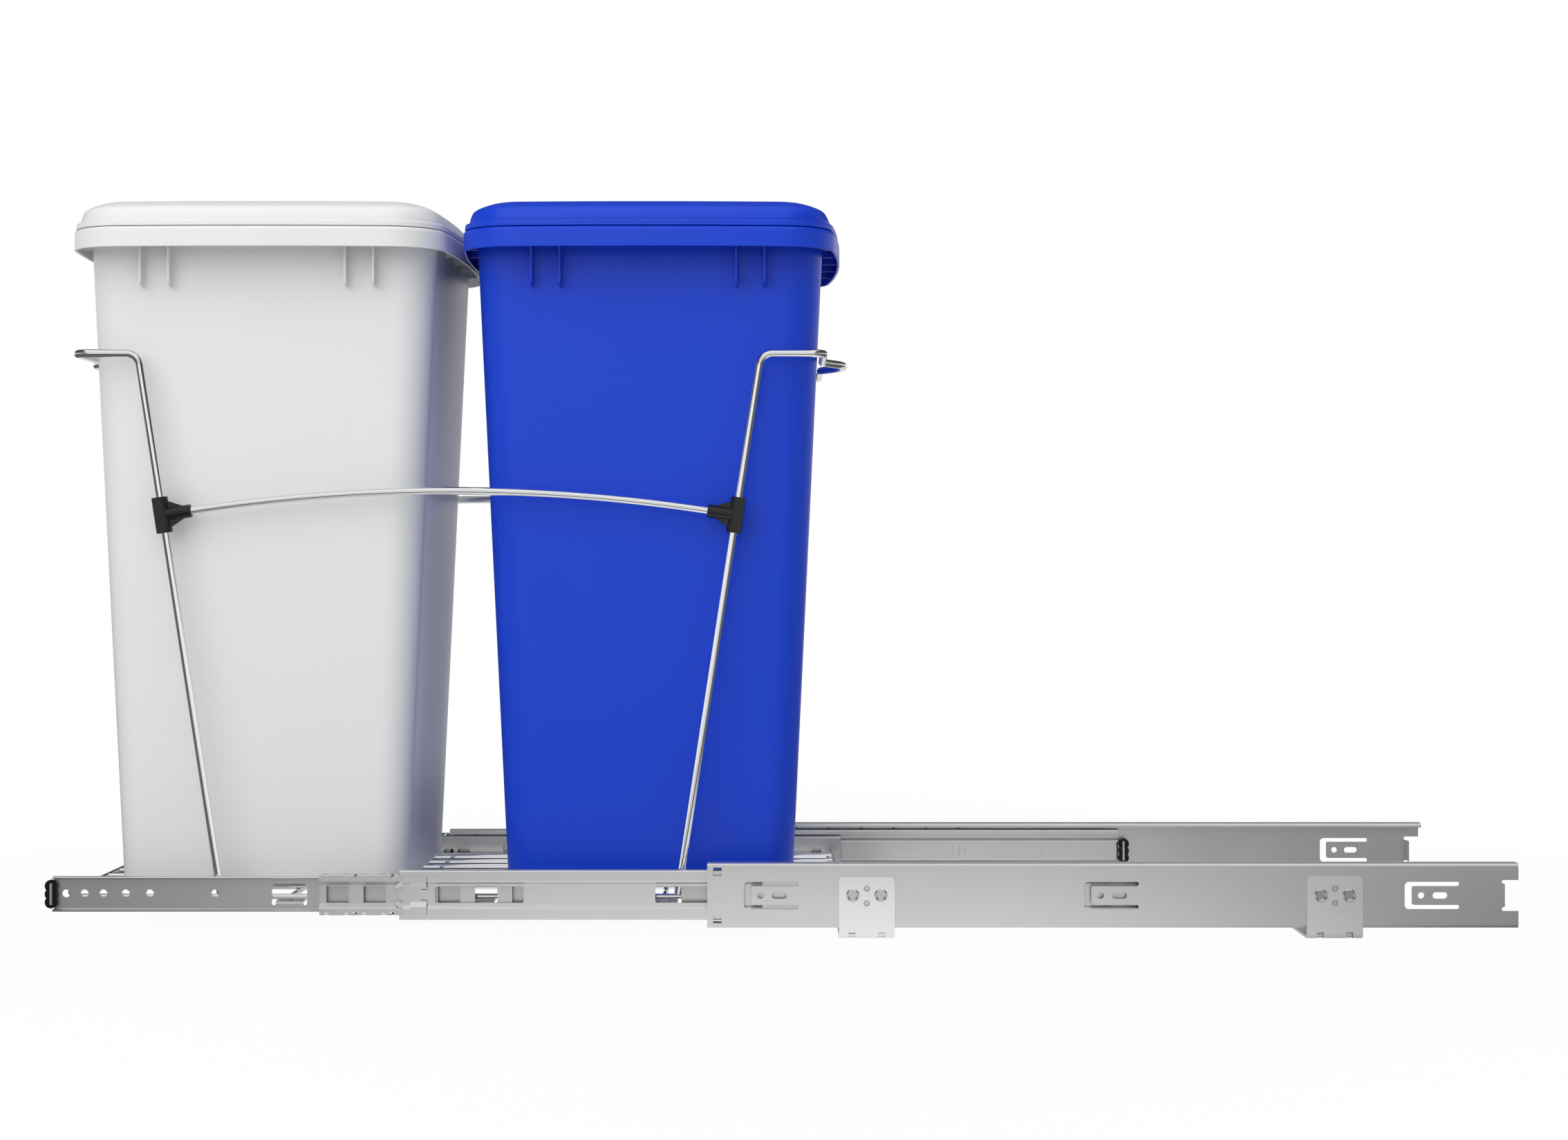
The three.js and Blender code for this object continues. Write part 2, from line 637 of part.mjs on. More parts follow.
// A slot like a U that opens to the back and leaves a tongue, and the tongue's own hole and slot.
function tongueCuts(sign, x0, depth) {
  const outer = TONGUE_HEIGHT / 2;
  const inner = outer - TONGUE_SLOT;
  const upper = [
    [x0, inner],
    [x0 + TONGUE_SLOT, outer],
    [x0 + TONGUE_LENGTH, outer],
    [x0 + TONGUE_LENGTH, inner],
    [x0 + TONGUE_WEB, inner],
  ];
  const outline = [...upper, ...upper.slice().reverse().map(([x, height]) => [x, -height])];
  const slotStart = x0 + TONGUE_SLOT_PLACE;
  return [
    prismAlongY(
      outline.map(([x, height]) => [x, SLIDE_LEVEL + height]),
      depth.map((value) => slideY(sign, value)),
    ),
    slideRod(sign, TONGUE_HOLE, x0 + TONGUE_HOLE_PLACE, depth),
    slideBox(sign, [slotStart, slotStart + TONGUE_SLOT_LENGTH], depth, [-TONGUE_HOLE / 2, TONGUE_HOLE / 2]),
  ];
}

function cabinetMember(sign) {
  const flange = CABINET_HALF - SLIDE_SHEET / 2;
  const lip = CABINET_DEPTH - SLIDE_SHEET / 2;
  const middleLine = mirrored([
    [lip, CABINET_HALF - CABINET_LIP],
    [lip, flange],
    [SLIDE_SHEET / 2, flange],
  ]);
  const strip = foldedStrip(middleLine, SLIDE_SHEET, MEMBER_BEND);
  const channel = slidePrism(sign, strip, [CABINET_FRONT, CABINET_REAR]);
  const through = [-OVERCUT, SLIDE_SHEET + OVERCUT];
  const windowFront = CABINET_FRONT + WINDOW_SETBACK;
  const cuts = [
    slideBox(sign, [windowFront, windowFront + WINDOW_LENGTH], through, [WINDOW_FOOT, WINDOW_TOP]),
    slideBox(sign, [windowFront, windowFront + WINDOW_LENGTH], through, [-WINDOW_TOP, -WINDOW_FOOT]),
    slideRod(sign, DIMPLE_DIAMETER, CABINET_FRONT + DIMPLE_SETBACK, [-OVERCUT, DIMPLE_DEPTH]),
  ];
  // Pips pressed out of the web, which place it in the ears' holes
  const pips = [];
  for (const setback of TONGUE_SETBACKS) cuts.push(...tongueCuts(sign, CABINET_FRONT + setback, through));
  for (const railX of [0, RAIL_PITCH]) {
    for (const x of [railX - RIVET_PITCH / 2, railX + RIVET_PITCH / 2]) {
      cuts.push(slideRod(sign, RIVET_SHANK + 3 * FIT, x, through, RIVET_HEIGHT - SLIDE_LEVEL));
    }
    for (let k = 0; k < PIP_COUNT; k += 1) {
      const height = PILOT_TOP - k * PILOT_PITCH - SLIDE_LEVEL;
      const hollow = [SLIDE_SHEET - PIP_HOLLOW_DEPTH, SLIDE_SHEET + OVERCUT];
      cuts.push(slideRod(sign, PIP_HOLLOW, railX, hollow, height));
      pips.push(slideRod(sign, PILOT_HOLE - 3 * FIT, railX, [-PIP_PROUD, SLIDE_SHEET / 4], height));
    }
  }
  const notchFront = CABINET_REAR - REAR_NOTCH;
  const notchHalf = REAR_NOTCH_HEIGHT / 2;
  cuts.push(slideBox(sign, [notchFront, CABINET_REAR + OVERCUT], through, [-notchHalf, notchHalf]));
  const stop = slideBox(
    sign,
    [notchFront - FIT, notchFront - FIT + SLIDE_SHEET],
    [SLIDE_SHEET / 2, STOP_REACH],
    [-STOP_HEIGHT / 2, STOP_HEIGHT / 2],
  );
  return join(cut(channel, ...cuts), stop, ...pips);
}

// The tab at the end of a web that holds a rubber buffer: out from the web, then across the channel.
function bufferTab(sign, x, webDepth, tipDepth, end) {
  const half = BUFFER_TAB_HEIGHT / 2;
  const outward = x + end * SLIDE_SHEET / 2;
  const webSide = (webDepth[0] + webDepth[1]) / 2;
  return join(
    slideBox(sign, [x - end * BUFFER_PROUD, outward], webDepth, [-half, half]),
    slideBox(sign, [x - SLIDE_SHEET / 2, x + SLIDE_SHEET / 2], [webSide, tipDepth], [-half, half]),
  );
}

// Three rubber lobes in a row, with the slot that the tab goes through.
function bufferBlock(sign, x, depth) {
  const y = depth.map((value) => slideY(sign, value));
  const lobes = [-1, 0, 1].map((k) => rodAlongY(BUFFER_LOBE, x, SLIDE_LEVEL + k * BUFFER_LOBE_PITCH, y, 12));
  const slotX = [x - SLIDE_SHEET / 2 - FIT, x + SLIDE_SHEET / 2 + FIT];
  const slotHalf = BUFFER_TAB_HEIGHT / 2 + FIT;
  const slotDepth = [depth[0] - OVERCUT, depth[1] + OVERCUT];
  return cut(join(...lobes), slideBox(sign, slotX, slotDepth, [-slotHalf, slotHalf]));
}

const DRAWER_BUFFER_X = DRAWER_FRONT - BUFFER_PROUD + BUFFER_LOBE / 2;
const REAR_BUFFER_X = INTERMEDIATE_REAR + BUFFER_LOBE / 2;
const DRAWER_BUFFER_DEPTH = [DRAWER_TIP, DRAWER_WEB - FIT];
const REAR_BUFFER_DEPTH = [RECESS_FACE + SLIDE_SHEET + FIT, INTERMEDIATE_DEPTH - SLIDE_SHEET - FIT];

function intermediateMember(sign) {
  const flange = INTERMEDIATE_HALF - SLIDE_SHEET / 2;
  const lip = INTERMEDIATE_DEPTH - SLIDE_SHEET / 2;
  const slopeTop = (RECESS_HEIGHT + RECESS_DEPTH) / 2;
  const slopeFoot = (RECESS_HEIGHT - RECESS_DEPTH) / 2;
  const middleLine = mirrored([
    [lip, INTERMEDIATE_HALF - INTERMEDIATE_LIP],
    [lip, flange],
    [INTERMEDIATE_FACE + SLIDE_SHEET / 2, flange],
    [INTERMEDIATE_FACE + SLIDE_SHEET / 2, slopeTop],
    [RECESS_FACE + SLIDE_SHEET / 2, slopeFoot],
  ]);
  const strip = foldedStrip(middleLine, SLIDE_SHEET, TIGHT_BEND, 2);
  const channel = slidePrism(sign, strip, [INTERMEDIATE_FRONT, INTERMEDIATE_REAR]);
  const webBack = RECESS_FACE + SLIDE_SHEET;
  const through = [INTERMEDIATE_FACE - FIT, webBack + FIT];
  const windowHalf = WEB_WINDOW_HEIGHT / 2;
  const pocketHalf = WEB_POCKET_HEIGHT / 2;
  const at = (setback, length) => [INTERMEDIATE_FRONT + setback, INTERMEDIATE_FRONT + setback + length];
  const notchHalf = FRONT_NOTCH_HEIGHT / 2;
  const cuts = [slideBox(sign, at(-OVERCUT, OVERCUT + FRONT_NOTCH), through, [-notchHalf, notchHalf])];
  for (const [setback, length] of WEB_WINDOWS) {
    cuts.push(slideBox(sign, at(setback, length), through, [-windowHalf, windowHalf]));
  }
  for (const [setback, length] of WEB_POCKETS) {
    const pocket = [webBack - WEB_POCKET_DEPTH, webBack + OVERCUT];
    cuts.push(slideBox(sign, at(setback, length), pocket, [-pocketHalf, pocketHalf]));
  }
  const additions = [
    slideRod(sign, NOSE_DIAMETER, INTERMEDIATE_FRONT + FRONT_NOTCH - FIT, [RECESS_FACE, webBack]),
    bufferTab(sign, REAR_BUFFER_X, [RECESS_FACE, webBack], REAR_BUFFER_DEPTH[1], 1),
  ];
  const catchX = at(CATCH_SETBACK, CATCH_LENGTH);
  const slits = [];
  for (const edge of [-1, 1]) {
    const wedge = [
      [INTERMEDIATE_FACE, edge * (slopeTop + FIT)],
      [INTERMEDIATE_FACE, edge * (slopeTop - CATCH_SLOPE / 2)],
      [RECESS_FACE, edge * (slopeFoot - CATCH_SLOPE)],
      [RECESS_FACE + FIT, edge * (slopeFoot - CATCH_SLOPE)],
      [RECESS_FACE + FIT, edge * slopeFoot],
      [INTERMEDIATE_FACE + FIT, edge * (slopeTop + FIT)],
    ];
    additions.push(slidePrism(sign, wedge, catchX));
    const slitStart = slopeFoot - CATCH_SLOPE - SLIT_WIDTH;
    const upright = [edge * slitStart, edge * notchHalf];
    slits.push(slideBox(sign, [catchX[1], catchX[1] + SLIT_WIDTH], through, upright));
    const level = [edge * slitStart, edge * (slitStart + SLIT_WIDTH)];
    slits.push(slideBox(sign, [catchX[1] - CATCH_TONGUE_LENGTH, catchX[1] + FIT], through, level));
  }
  return cut(join(cut(channel, ...cuts), ...additions), ...slits);
}

function drawerMember(sign) {
  const flange = DRAWER_HALF - SLIDE_SHEET / 2;
  const middleLine = mirrored([[DRAWER_TIP, flange], [DRAWER_WEB + SLIDE_SHEET / 2, flange]]);
  const strip = foldedStrip(middleLine, SLIDE_SHEET, MEMBER_BEND);
  const channel = slidePrism(sign, strip, [DRAWER_FRONT, DRAWER_FRONT + DRAWER_LENGTH]);
  const through = [DRAWER_WEB - OVERCUT, SLIDE_DEPTH + OVERCUT];
  const cuts = HOLE_SETBACKS.map((setback) => (
    slideRod(sign, HOLE_DIAMETER, DRAWER_FRONT + setback, through)
  ));
  for (const [setback, length] of OVAL_SETBACKS) {
    const ends = [DRAWER_FRONT + setback - length / 2, DRAWER_FRONT + setback + length / 2];
    cuts.push(slideBox(sign, ends, through, [-TONGUE_HOLE / 2, TONGUE_HOLE / 2]));
  }
  const additions = [
    bufferTab(sign, DRAWER_BUFFER_X, [DRAWER_WEB, SLIDE_DEPTH], DRAWER_BUFFER_DEPTH[0], -1),
  ];
  const shelfTop = CROSS_WIRE_LEVEL - TRAY_WIRE / 2 - FIT - SLIDE_LEVEL;
  const shelfFoot = shelfTop - SLIDE_SHEET;
  for (let k = 0; k < SHELF_COUNT; k += 1) {
    const x = DRAWER_FRONT + SHELF_SETBACK + k * SHELF_PITCH;
    const half = SHELF_WINDOW_LENGTH / 2;
    cuts.push(slideBox(sign, [x - half, x + half], through, [shelfTop, SHELF_WINDOW_TOP]));
    for (const edge of [-1, 1]) {
      const notch = [x + edge * half, x + edge * (half - SHELF_NOTCH)].sort((a, b) => a - b);
      cuts.push(slideBox(sign, notch, through, [shelfFoot - SLIDE_SHEET, shelfTop + FIT]));
    }
    const shelf = [x - SHELF_LENGTH / 2, x + SHELF_LENGTH / 2];
    const reach = [DRAWER_WEB + SLIDE_SHEET / 2, SLIDE_DEPTH + SHELF_REACH];
    additions.push(slideBox(sign, shelf, reach, [shelfFoot, shelfTop]));
  }
  return join(cut(channel, ...cuts), ...additions);
}

// A pressed cage with its balls, which run in the races above and below it.
function ballCage(sign, x0, length, middleLine, ballDepth, ballLevel, webFace) {
  const strip = foldedStrip(mirrored(middleLine), CAGE_SHEET, CAGE_SHEET, 1);
  const cage = slidePrism(sign, strip, [x0, x0 + length]);
  const through = [webFace - FIT, webFace + CAGE_SHEET + FIT];
  const cuts = [];
  const balls = [];
  for (let place = CAGE_FIRST_BALL; place + BALL_DIAMETER < length; place += BALL_PITCH) {
    const window = x0 + place - BALL_PITCH / 2;
    const windowX = [window - CAGE_WINDOW_LENGTH / 2, window + CAGE_WINDOW_LENGTH / 2];
    cuts.push(slideBox(sign, windowX, through, [-CAGE_WINDOW_HEIGHT / 2, CAGE_WINDOW_HEIGHT / 2]));
    for (const edge of [-1, 1]) {
      const ball = new THREE.SphereGeometry(BALL_DIAMETER / 2, BALL_SIDES, BALL_RINGS);
      const level = SLIDE_LEVEL + edge * ballLevel;
      balls.push(ball.rotateX(Math.PI / 2).translate(x0 + place, slideY(sign, ballDepth), level));
    }
  }
  return join(cut(cage, ...cuts), ...balls);
}

function innerCage(sign) {
  const flange = INNER_BALL_LEVEL - CAGE_INSET - CAGE_SHEET / 2;
  const slopeTop = (RECESS_HEIGHT + RECESS_DEPTH) / 2 + RUNNING_GAP;
  const slopeFoot = slopeTop - (CAGE_WEB_FACE - CAGE_BAND_FACE);
  const tip = INTERMEDIATE_DEPTH - SLIDE_SHEET - RUNNING_GAP;
  const band = CAGE_BAND_FACE + CAGE_SHEET / 2;
  const web = CAGE_WEB_FACE + CAGE_SHEET / 2;
  const middleLine = [[tip, flange], [band, flange], [band, slopeTop], [web, slopeFoot]];
  const ballDepth = INTERMEDIATE_DEPTH - SLIDE_SHEET - BALL_PLAY - BALL_DIAMETER / 2;
  return ballCage(
    sign, INNER_CAGE_FRONT, INNER_CAGE_LENGTH, middleLine, ballDepth, INNER_BALL_LEVEL, CAGE_WEB_FACE,
  );
}

function outerCage(sign) {
  const flange = OUTER_BALL_LEVEL - CAGE_SHEET / 2;
  const tip = INTERMEDIATE_DEPTH - RUNNING_GAP;
  const middleLine = [[tip, flange], [OUTER_CAGE_FACE + CAGE_SHEET / 2, flange]];
  const ballDepth = (SLIDE_SHEET + INTERMEDIATE_DEPTH) / 2;
  return ballCage(
    sign, OUTER_CAGE_FRONT, OUTER_CAGE_LENGTH, middleLine, ballDepth, OUTER_BALL_LEVEL, OUTER_CAGE_FACE,
  );
}

for (const { side, sign } of SIDES) {
  addPiece(`cabinet_member_${side}`, cabinetMember(sign), 'zinc');
  addPiece(`outer_ball_cage_${side}`, outerCage(sign), 'cage');
  addPiece(`intermediate_member_${side}`, intermediateMember(sign), 'zinc');
  addPiece(`rear_buffer_${side}`, bufferBlock(sign, REAR_BUFFER_X, REAR_BUFFER_DEPTH), 'black');
  addPiece(`inner_ball_cage_${side}`, innerCage(sign), 'cage');
  addPiece(`drawer_member_${side}`, drawerMember(sign), 'zinc');
  addPiece(`front_buffer_${side}`, bufferBlock(sign, DRAWER_BUFFER_X, DRAWER_BUFFER_DEPTH), 'black');
}

// ---- Cradle ----

const point = (x, y, z) => new THREE.Vector3(x, y, z);

function wireTray() {
  const middle = DRAWER_FRONT + TRAY_MIDDLE;
  const front = middle - TRAY_LENGTH / 2;
  const rear = middle + TRAY_LENGTH / 2;
  const rimLevel = TRAY_LEVEL - TRAY_RIM_DROP;
  const rim = bendStations([
    point(rear, -TRAY_SIDE, rimLevel),
    point(front, -TRAY_SIDE, rimLevel),
    point(front, TRAY_SIDE, rimLevel),
    point(rear, TRAY_SIDE, rimLevel),
  ], [TRAY_CORNER, TRAY_CORNER]);
  const rods = [];
  for (let k = 1; k < TRAY_WIRE_COUNT - 1; k += 1) {
    const y = TRAY_SIDE * (2 * k / (TRAY_WIRE_COUNT - 1) - 1);
    const ends = [point(front - ROD_OVERHANG, y, TRAY_LEVEL), point(rear + ROD_OVERHANG, y, TRAY_LEVEL)];
    rods.push(sweepWire(ends, TRAY_WIRE));
  }
  const reach = TRAY_SIDE + CROSS_WIRE_OVERHANG;
  const crossings = [middle - CROSS_WIRE_PITCH / 2, middle + CROSS_WIRE_PITCH / 2, rear - TRAY_WIRE];
  for (const k of [0, SHELF_COUNT - 1]) crossings.push(DRAWER_FRONT + SHELF_SETBACK + k * SHELF_PITCH);
  for (const x of crossings) {
    const ends = [point(x, -reach, CROSS_WIRE_LEVEL), point(x, reach, CROSS_WIRE_LEVEL)];
    rods.push(sweepWire(ends, TRAY_WIRE));
  }
  return join(sweepWire(rim, TRAY_WIRE), ...rods);
}

// Where a leg's middle line is at a height.
function legX(end, level) {
  return FRAME_CENTRE + end * (LEG_FOOT_SPREAD / 2 + (level - TRAY_LEVEL) * LEG_SLOPE);
}

// One bent wire: up a leg, out to the ring's end, across with its pull, back and down the other leg.
function hoop(end) {
  const ringX = FRAME_CENTRE + end * RING_LENGTH / 2;
  const pullX = ringX + end * PULL_REACH;
  const y = FRAME_SPREAD / 2;
  const half = [
    [point(legX(end, LEG_FOOT), y, LEG_FOOT)],
    [point(legX(end, RING_LEVEL), y, RING_LEVEL), LEG_BEND],
    [point(ringX, y, RING_LEVEL), RING_CORNER],
    [point(ringX, PULL_WIDTH / 2, RING_LEVEL), PULL_ROOT_BEND],
    [point(pullX, PULL_WIDTH / 2 - PULL_BEND, RING_LEVEL), PULL_BEND],
  ];
  const route = [...half, ...half.slice().reverse().map(([at, bend]) => [point(at.x, -at.y, at.z), bend])];
  const corners = route.map(([at]) => at);
  const bends = route.slice(1, -1).map(([, bend]) => bend);
  return join(sweepWire(bendStations(corners, bends), FRAME_WIRE));
}

// A moulded tee, drawn with its sleeve along Z and its branch along +X.
function teeGeometry() {
  const half = TEE_WIDTH / 2;
  const sleeve = [[-half, -half], [0, -half]];
  for (let k = 1; k < 8; k += 1) {
    const angle = -Math.PI / 2 + Math.PI * k / 8;
    sleeve.push([half * Math.cos(angle), half * Math.sin(angle)]);
  }
  sleeve.push([0, half], [-half, half]);
  const bore = FRAME_WIRE / 2 * OVER_CORNERS + FIT;
  const webRoot = TEE_LENGTH / 2 - OVERCUT;
  const webTip = TEE_REACH - OVERCUT;
  const web = [[0, -webRoot], [webTip, -OVERCUT], [webTip, OVERCUT], [0, webRoot]];
  const branch = new THREE.CylinderGeometry(TEE_BRANCH / 2, TEE_BRANCH / 2, TEE_REACH, 12);
  const branchBore = new THREE.CylinderGeometry(bore, bore, TEE_REACH, 12);
  const legBore = new THREE.CylinderGeometry(bore, bore, 2 * TEE_LENGTH, 12);
  const body = join(
    prism(sleeve, TEE_LENGTH).translate(0, 0, -TEE_LENGTH / 2),
    prismAlongY(web, [-TEE_WEB / 2, TEE_WEB / 2]),
    branch.rotateZ(Math.PI / 2).translate(TEE_REACH / 2, 0, 0),
  );
  return cut(
    body,
    branchBore.rotateZ(Math.PI / 2).translate(TEE_REACH / 2 + half, 0, 0),
    legBore.rotateX(Math.PI / 2),
  );
}

// A side wire from one tee's branch to the other, bowed so that it leaves each branch straight.
function sideArch(sign) {
  const y = sign * FRAME_SPREAD / 2;
  const start = TEE_WIDTH / 2 + 2 * FIT;
  const along = (reach) => point(
    legX(-1, TEE_LEVEL) + reach * Math.cos(LEG_LEAN),
    y,
    TEE_LEVEL + reach * Math.sin(LEG_LEAN),
  );
  const bowStart = along(TEE_REACH);
  const radius = (FRAME_CENTRE - bowStart.x) / Math.sin(LEG_LEAN);
  const centreZ = bowStart.z - radius * Math.cos(LEG_LEAN);
  const steps = 6;
  const half = [along(start)];
  for (let k = 0; k < steps; k += 1) {
    const angle = LEG_LEAN * (1 - k / steps);
    half.push(point(FRAME_CENTRE - radius * Math.sin(angle), y, centreZ + radius * Math.cos(angle)));
  }
  const crown = point(FRAME_CENTRE, y, centreZ + radius);
  const back = half.slice().reverse().map((at) => point(2 * FRAME_CENTRE - at.x, at.y, at.z));
  return join(sweepWire([...half, crown, ...back], FRAME_WIRE));
}

addPiece('wire_tray', wireTray(), 'chrome');
addPiece('front_hoop', hoop(-1), 'chrome');
addPiece('rear_hoop', hoop(1), 'chrome');
for (const { side, sign } of SIDES) {
  addPiece(`side_arch_${side}`, sideArch(sign), 'chrome');
  for (const [place, end] of [['front', -1], ['rear', 1]]) {
    const tee = addPiece(`${place}_tee_${side}`, teeGeometry(), 'black');
    tee.position.set(legX(end, TEE_LEVEL), sign * FRAME_SPREAD / 2, TEE_LEVEL);
    tee.rotation.set(0, end * LEG_LEAN, end > 0 ? Math.PI : 0);
  }
}

// ---- Bins and lids ----

// So large that a side drawn on it is straight
const FLAT_RADIUS = 100 * RIM_WIDTH;

function rimRing(inset, z) {
  const points = bulgedRing(
    RIM_LENGTH / 2 - inset,
    RIM_WIDTH / 2 - inset,
    Math.max(RIM_CORNER - inset, OVERCUT),
    RIM_END_RADIUS - inset,
    RIM_SIDE_RADIUS - inset,
  );
  return { points, z };
}

// The body's outline at a height, tapering from rim to foot, moved inward by the inset.
function bodyRing(inset, z) {
  const share = (z - BIN_FLOOR) / (RIM_UNDERSIDE - BIN_FLOOR);
  const between = (foot, top) => foot + (top - foot) * share;
  const points = bulgedRing(
    between(BIN_FOOT_LENGTH, BIN_TOP_LENGTH) / 2 - inset,
    between(BIN_FOOT_WIDTH, BIN_TOP_WIDTH) / 2 - inset,
    between(BIN_FOOT_CORNER, BIN_TOP_CORNER) - inset,
    FLAT_RADIUS,
    FLAT_RADIUS,
  );
  return { points, z };
}

function bin(x0) {
  const filletStep = FOOT_FILLET * (1 - Math.SQRT1_2);
  const shoulderStep = RIM_SHOULDER * (1 - Math.SQRT1_2);
  const skirtBottom = RIM_TOP - SKIRT_HEIGHT;
  const floorTop = BIN_FLOOR + BIN_WALL;
  const shell = loft([
    bodyRing(FOOT_FILLET, BIN_FLOOR),
    bodyRing(filletStep, BIN_FLOOR + filletStep),
    bodyRing(0, BIN_FLOOR + FOOT_FILLET),
    bodyRing(0, RIM_UNDERSIDE),
    rimRing(SKIRT_WALL, RIM_UNDERSIDE),
    rimRing(SKIRT_WALL, skirtBottom),
    rimRing(0, skirtBottom),
    rimRing(0, RIM_TOP - RIM_SHOULDER),
    rimRing(shoulderStep, RIM_TOP - shoulderStep),
    rimRing(RIM_SHOULDER, RIM_TOP),
    bodyRing(BIN_WALL, RIM_TOP),
    bodyRing(BIN_WALL, floorTop + FOOT_FILLET),
    bodyRing(BIN_WALL + FOOT_FILLET, floorTop),
  ], x0);
  const ribs = [];
  const finFoot = RIM_UNDERSIDE - FIN_HEIGHT;
  const wallY = BIN_TOP_WIDTH / 2;
  const sunk = BIN_WALL / 2;
  const leanY = (BIN_TOP_WIDTH - BIN_FOOT_WIDTH) / 2 * FIN_HEIGHT / BIN_HEIGHT;
  const wallX = BIN_TOP_LENGTH / 2;
  const ribEnd = RIM_LENGTH / 2 - SKIRT_WALL / 2;
  for (const edge of [-1, 1]) {
    for (const place of FIN_PLACES) {
      const x = [x0 + place - FIN_THICKNESS / 2, x0 + place + FIN_THICKNESS / 2];
      const y = [edge * (wallY - leanY - sunk), edge * (wallY + FIN_REACH)];
      ribs.push(box(x, y, [finFoot, RIM_UNDERSIDE + sunk]));
    }
    for (let k = 0; k < END_RIB_COUNT; k += 1) {
      const y = (k - (END_RIB_COUNT - 1) / 2) * END_RIB_PITCH;
      const sag = y ** 2 / (2 * RIM_END_RADIUS);
      const x = [x0 + edge * (wallX - sunk), x0 + edge * (ribEnd - sag)];
      const thickness = [y - FIN_THICKNESS / 2, y + FIN_THICKNESS / 2];
      ribs.push(box(x, thickness, [RIM_UNDERSIDE - END_RIB_HEIGHT, RIM_UNDERSIDE + sunk]));
    }
  }
  return join(shell, ...ribs);
}

function lid(x0) {
  const bottom = RIM_TOP + FIT;
  const flangeTop = bottom + LID_FLANGE;
  const domeFoot = LID_INSET + LID_LEDGE;
  const domeRings = DOME.map(([inset, rise]) => rimRing(domeFoot + inset, flangeTop + rise));
  const underRings = DOME.slice(1, 1 + HOLLOW_RINGS).map(([inset, rise]) => (
    rimRing(domeFoot + inset + LID_WALL, flangeTop + rise - LID_WALL)
  ));
  const lipTop = underRings[underRings.length - 1].z + OVERCUT;
  const lipRing = (inset, z) => ({ ...bodyRing(BIN_WALL + LID_LIP_PLAY + inset, RIM_TOP), z });
  return loft([
    lipRing(LID_HOLLOW_INSET, flangeTop + DOME_CROWN - 2 * LID_WALL),
    lipRing(LID_WALL, lipTop),
    lipRing(LID_WALL, RIM_TOP - LID_LIP_DEPTH),
    lipRing(0, RIM_TOP - LID_LIP_DEPTH),
    lipRing(0, lipTop),
    ...underRings.reverse(),
    rimRing(domeFoot + LID_WALL, bottom),
    rimRing(LID_INSET, bottom),
    rimRing(LID_INSET, flangeTop - LID_EDGE),
    rimRing(LID_INSET + LID_EDGE * (1 - Math.SQRT1_2), flangeTop - LID_EDGE * (1 - Math.SQRT1_2)),
    rimRing(LID_INSET + LID_EDGE, flangeTop),
    ...domeRings.slice(0, -1),
    { ...domeRings[domeRings.length - 1], centreZ: flangeTop + DOME_CROWN },
  ], x0);
}

for (const [place, end, finish] of [['front', -1, 'white'], ['rear', 1, 'blue']]) {
  const x = BIN_CENTRE + end * (RIM_LENGTH + RIM_GAP) / 2;
  addPiece(`${place}_bin`, bin(x), finish);
  addPiece(`${place}_lid`, lid(x), finish);
}

export default group;
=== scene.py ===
"""Looks for a pull-out waste unit: two lidded bins in a chromed wire cradle on telescoping slides.

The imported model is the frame. Pieces that stand for its nodes are modelled in millimetres in the
row's own frame (+X to the back of the cabinet, +Y to its left, +Z up) and become meshes in metres.
"""

import logging
import math
from dataclasses import dataclass
from enum import Enum
from typing import Callable, Iterable, Sequence

import bmesh
import bpy
from mathutils import Matrix, Vector


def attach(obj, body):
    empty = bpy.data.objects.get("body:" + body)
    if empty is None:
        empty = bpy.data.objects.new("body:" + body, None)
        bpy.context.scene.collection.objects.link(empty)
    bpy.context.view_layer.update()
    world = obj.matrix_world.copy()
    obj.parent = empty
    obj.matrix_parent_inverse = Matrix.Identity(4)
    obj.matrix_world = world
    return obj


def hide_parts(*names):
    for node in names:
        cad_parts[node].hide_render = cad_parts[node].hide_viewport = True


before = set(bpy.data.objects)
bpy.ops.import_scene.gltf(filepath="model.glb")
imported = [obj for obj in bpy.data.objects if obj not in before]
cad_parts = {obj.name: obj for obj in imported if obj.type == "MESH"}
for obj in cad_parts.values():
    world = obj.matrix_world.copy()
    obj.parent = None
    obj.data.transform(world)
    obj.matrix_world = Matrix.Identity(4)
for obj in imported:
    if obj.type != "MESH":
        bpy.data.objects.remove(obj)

LOG = logging.getLogger("waste_unit")
MM = 0.001
RIGHT_ANGLE = math.pi / 2
FULL_TURN = 2 * math.pi
MERGE_DISTANCE = 1e-7
BLACK, WHITE = (0.0, 0.0, 0.0, 1.0), (1.0, 1.0, 1.0, 1.0)

Pair = tuple[float, float]
Point = tuple[float, float, float]
Colour = tuple[float, float, float, float]
Ring = tuple[list[Pair], float]
Mesh = bpy.types.Mesh
Node = bpy.types.Node
Socket = bpy.types.NodeSocket
Placer = Callable[[float, float, float], Point]


class Side(Enum):
    """The two sides of the unit, seen from the front; the right one is near the camera."""

    RIGHT = "right"
    LEFT = "left"

    @property
    def sign(self) -> int:
        """The side's direction along Y."""
        return -1 if self is Side.RIGHT else 1


class End(Enum):
    """The two ends of the unit along X."""

    FRONT = "front"
    REAR = "rear"

    @property
    def sign(self) -> int:
        """The end's direction along X."""
        return -1 if self is End.FRONT else 1


class Body(Enum):
    """The rigid bodies that pieces ride on; those of the slides have one on each side."""

    BASE = "base"
    CARRIAGE = "carriage"
    INTERMEDIATE = "intermediate_{side}"
    INNER_CAGE = "inner_cage_{side}"
    OUTER_CAGE = "outer_cage_{side}"
    WHITE_BIN = "white_bin"
    WHITE_LID = "white_lid"
    BLUE_BIN = "blue_bin"
    BLUE_LID = "blue_lid"


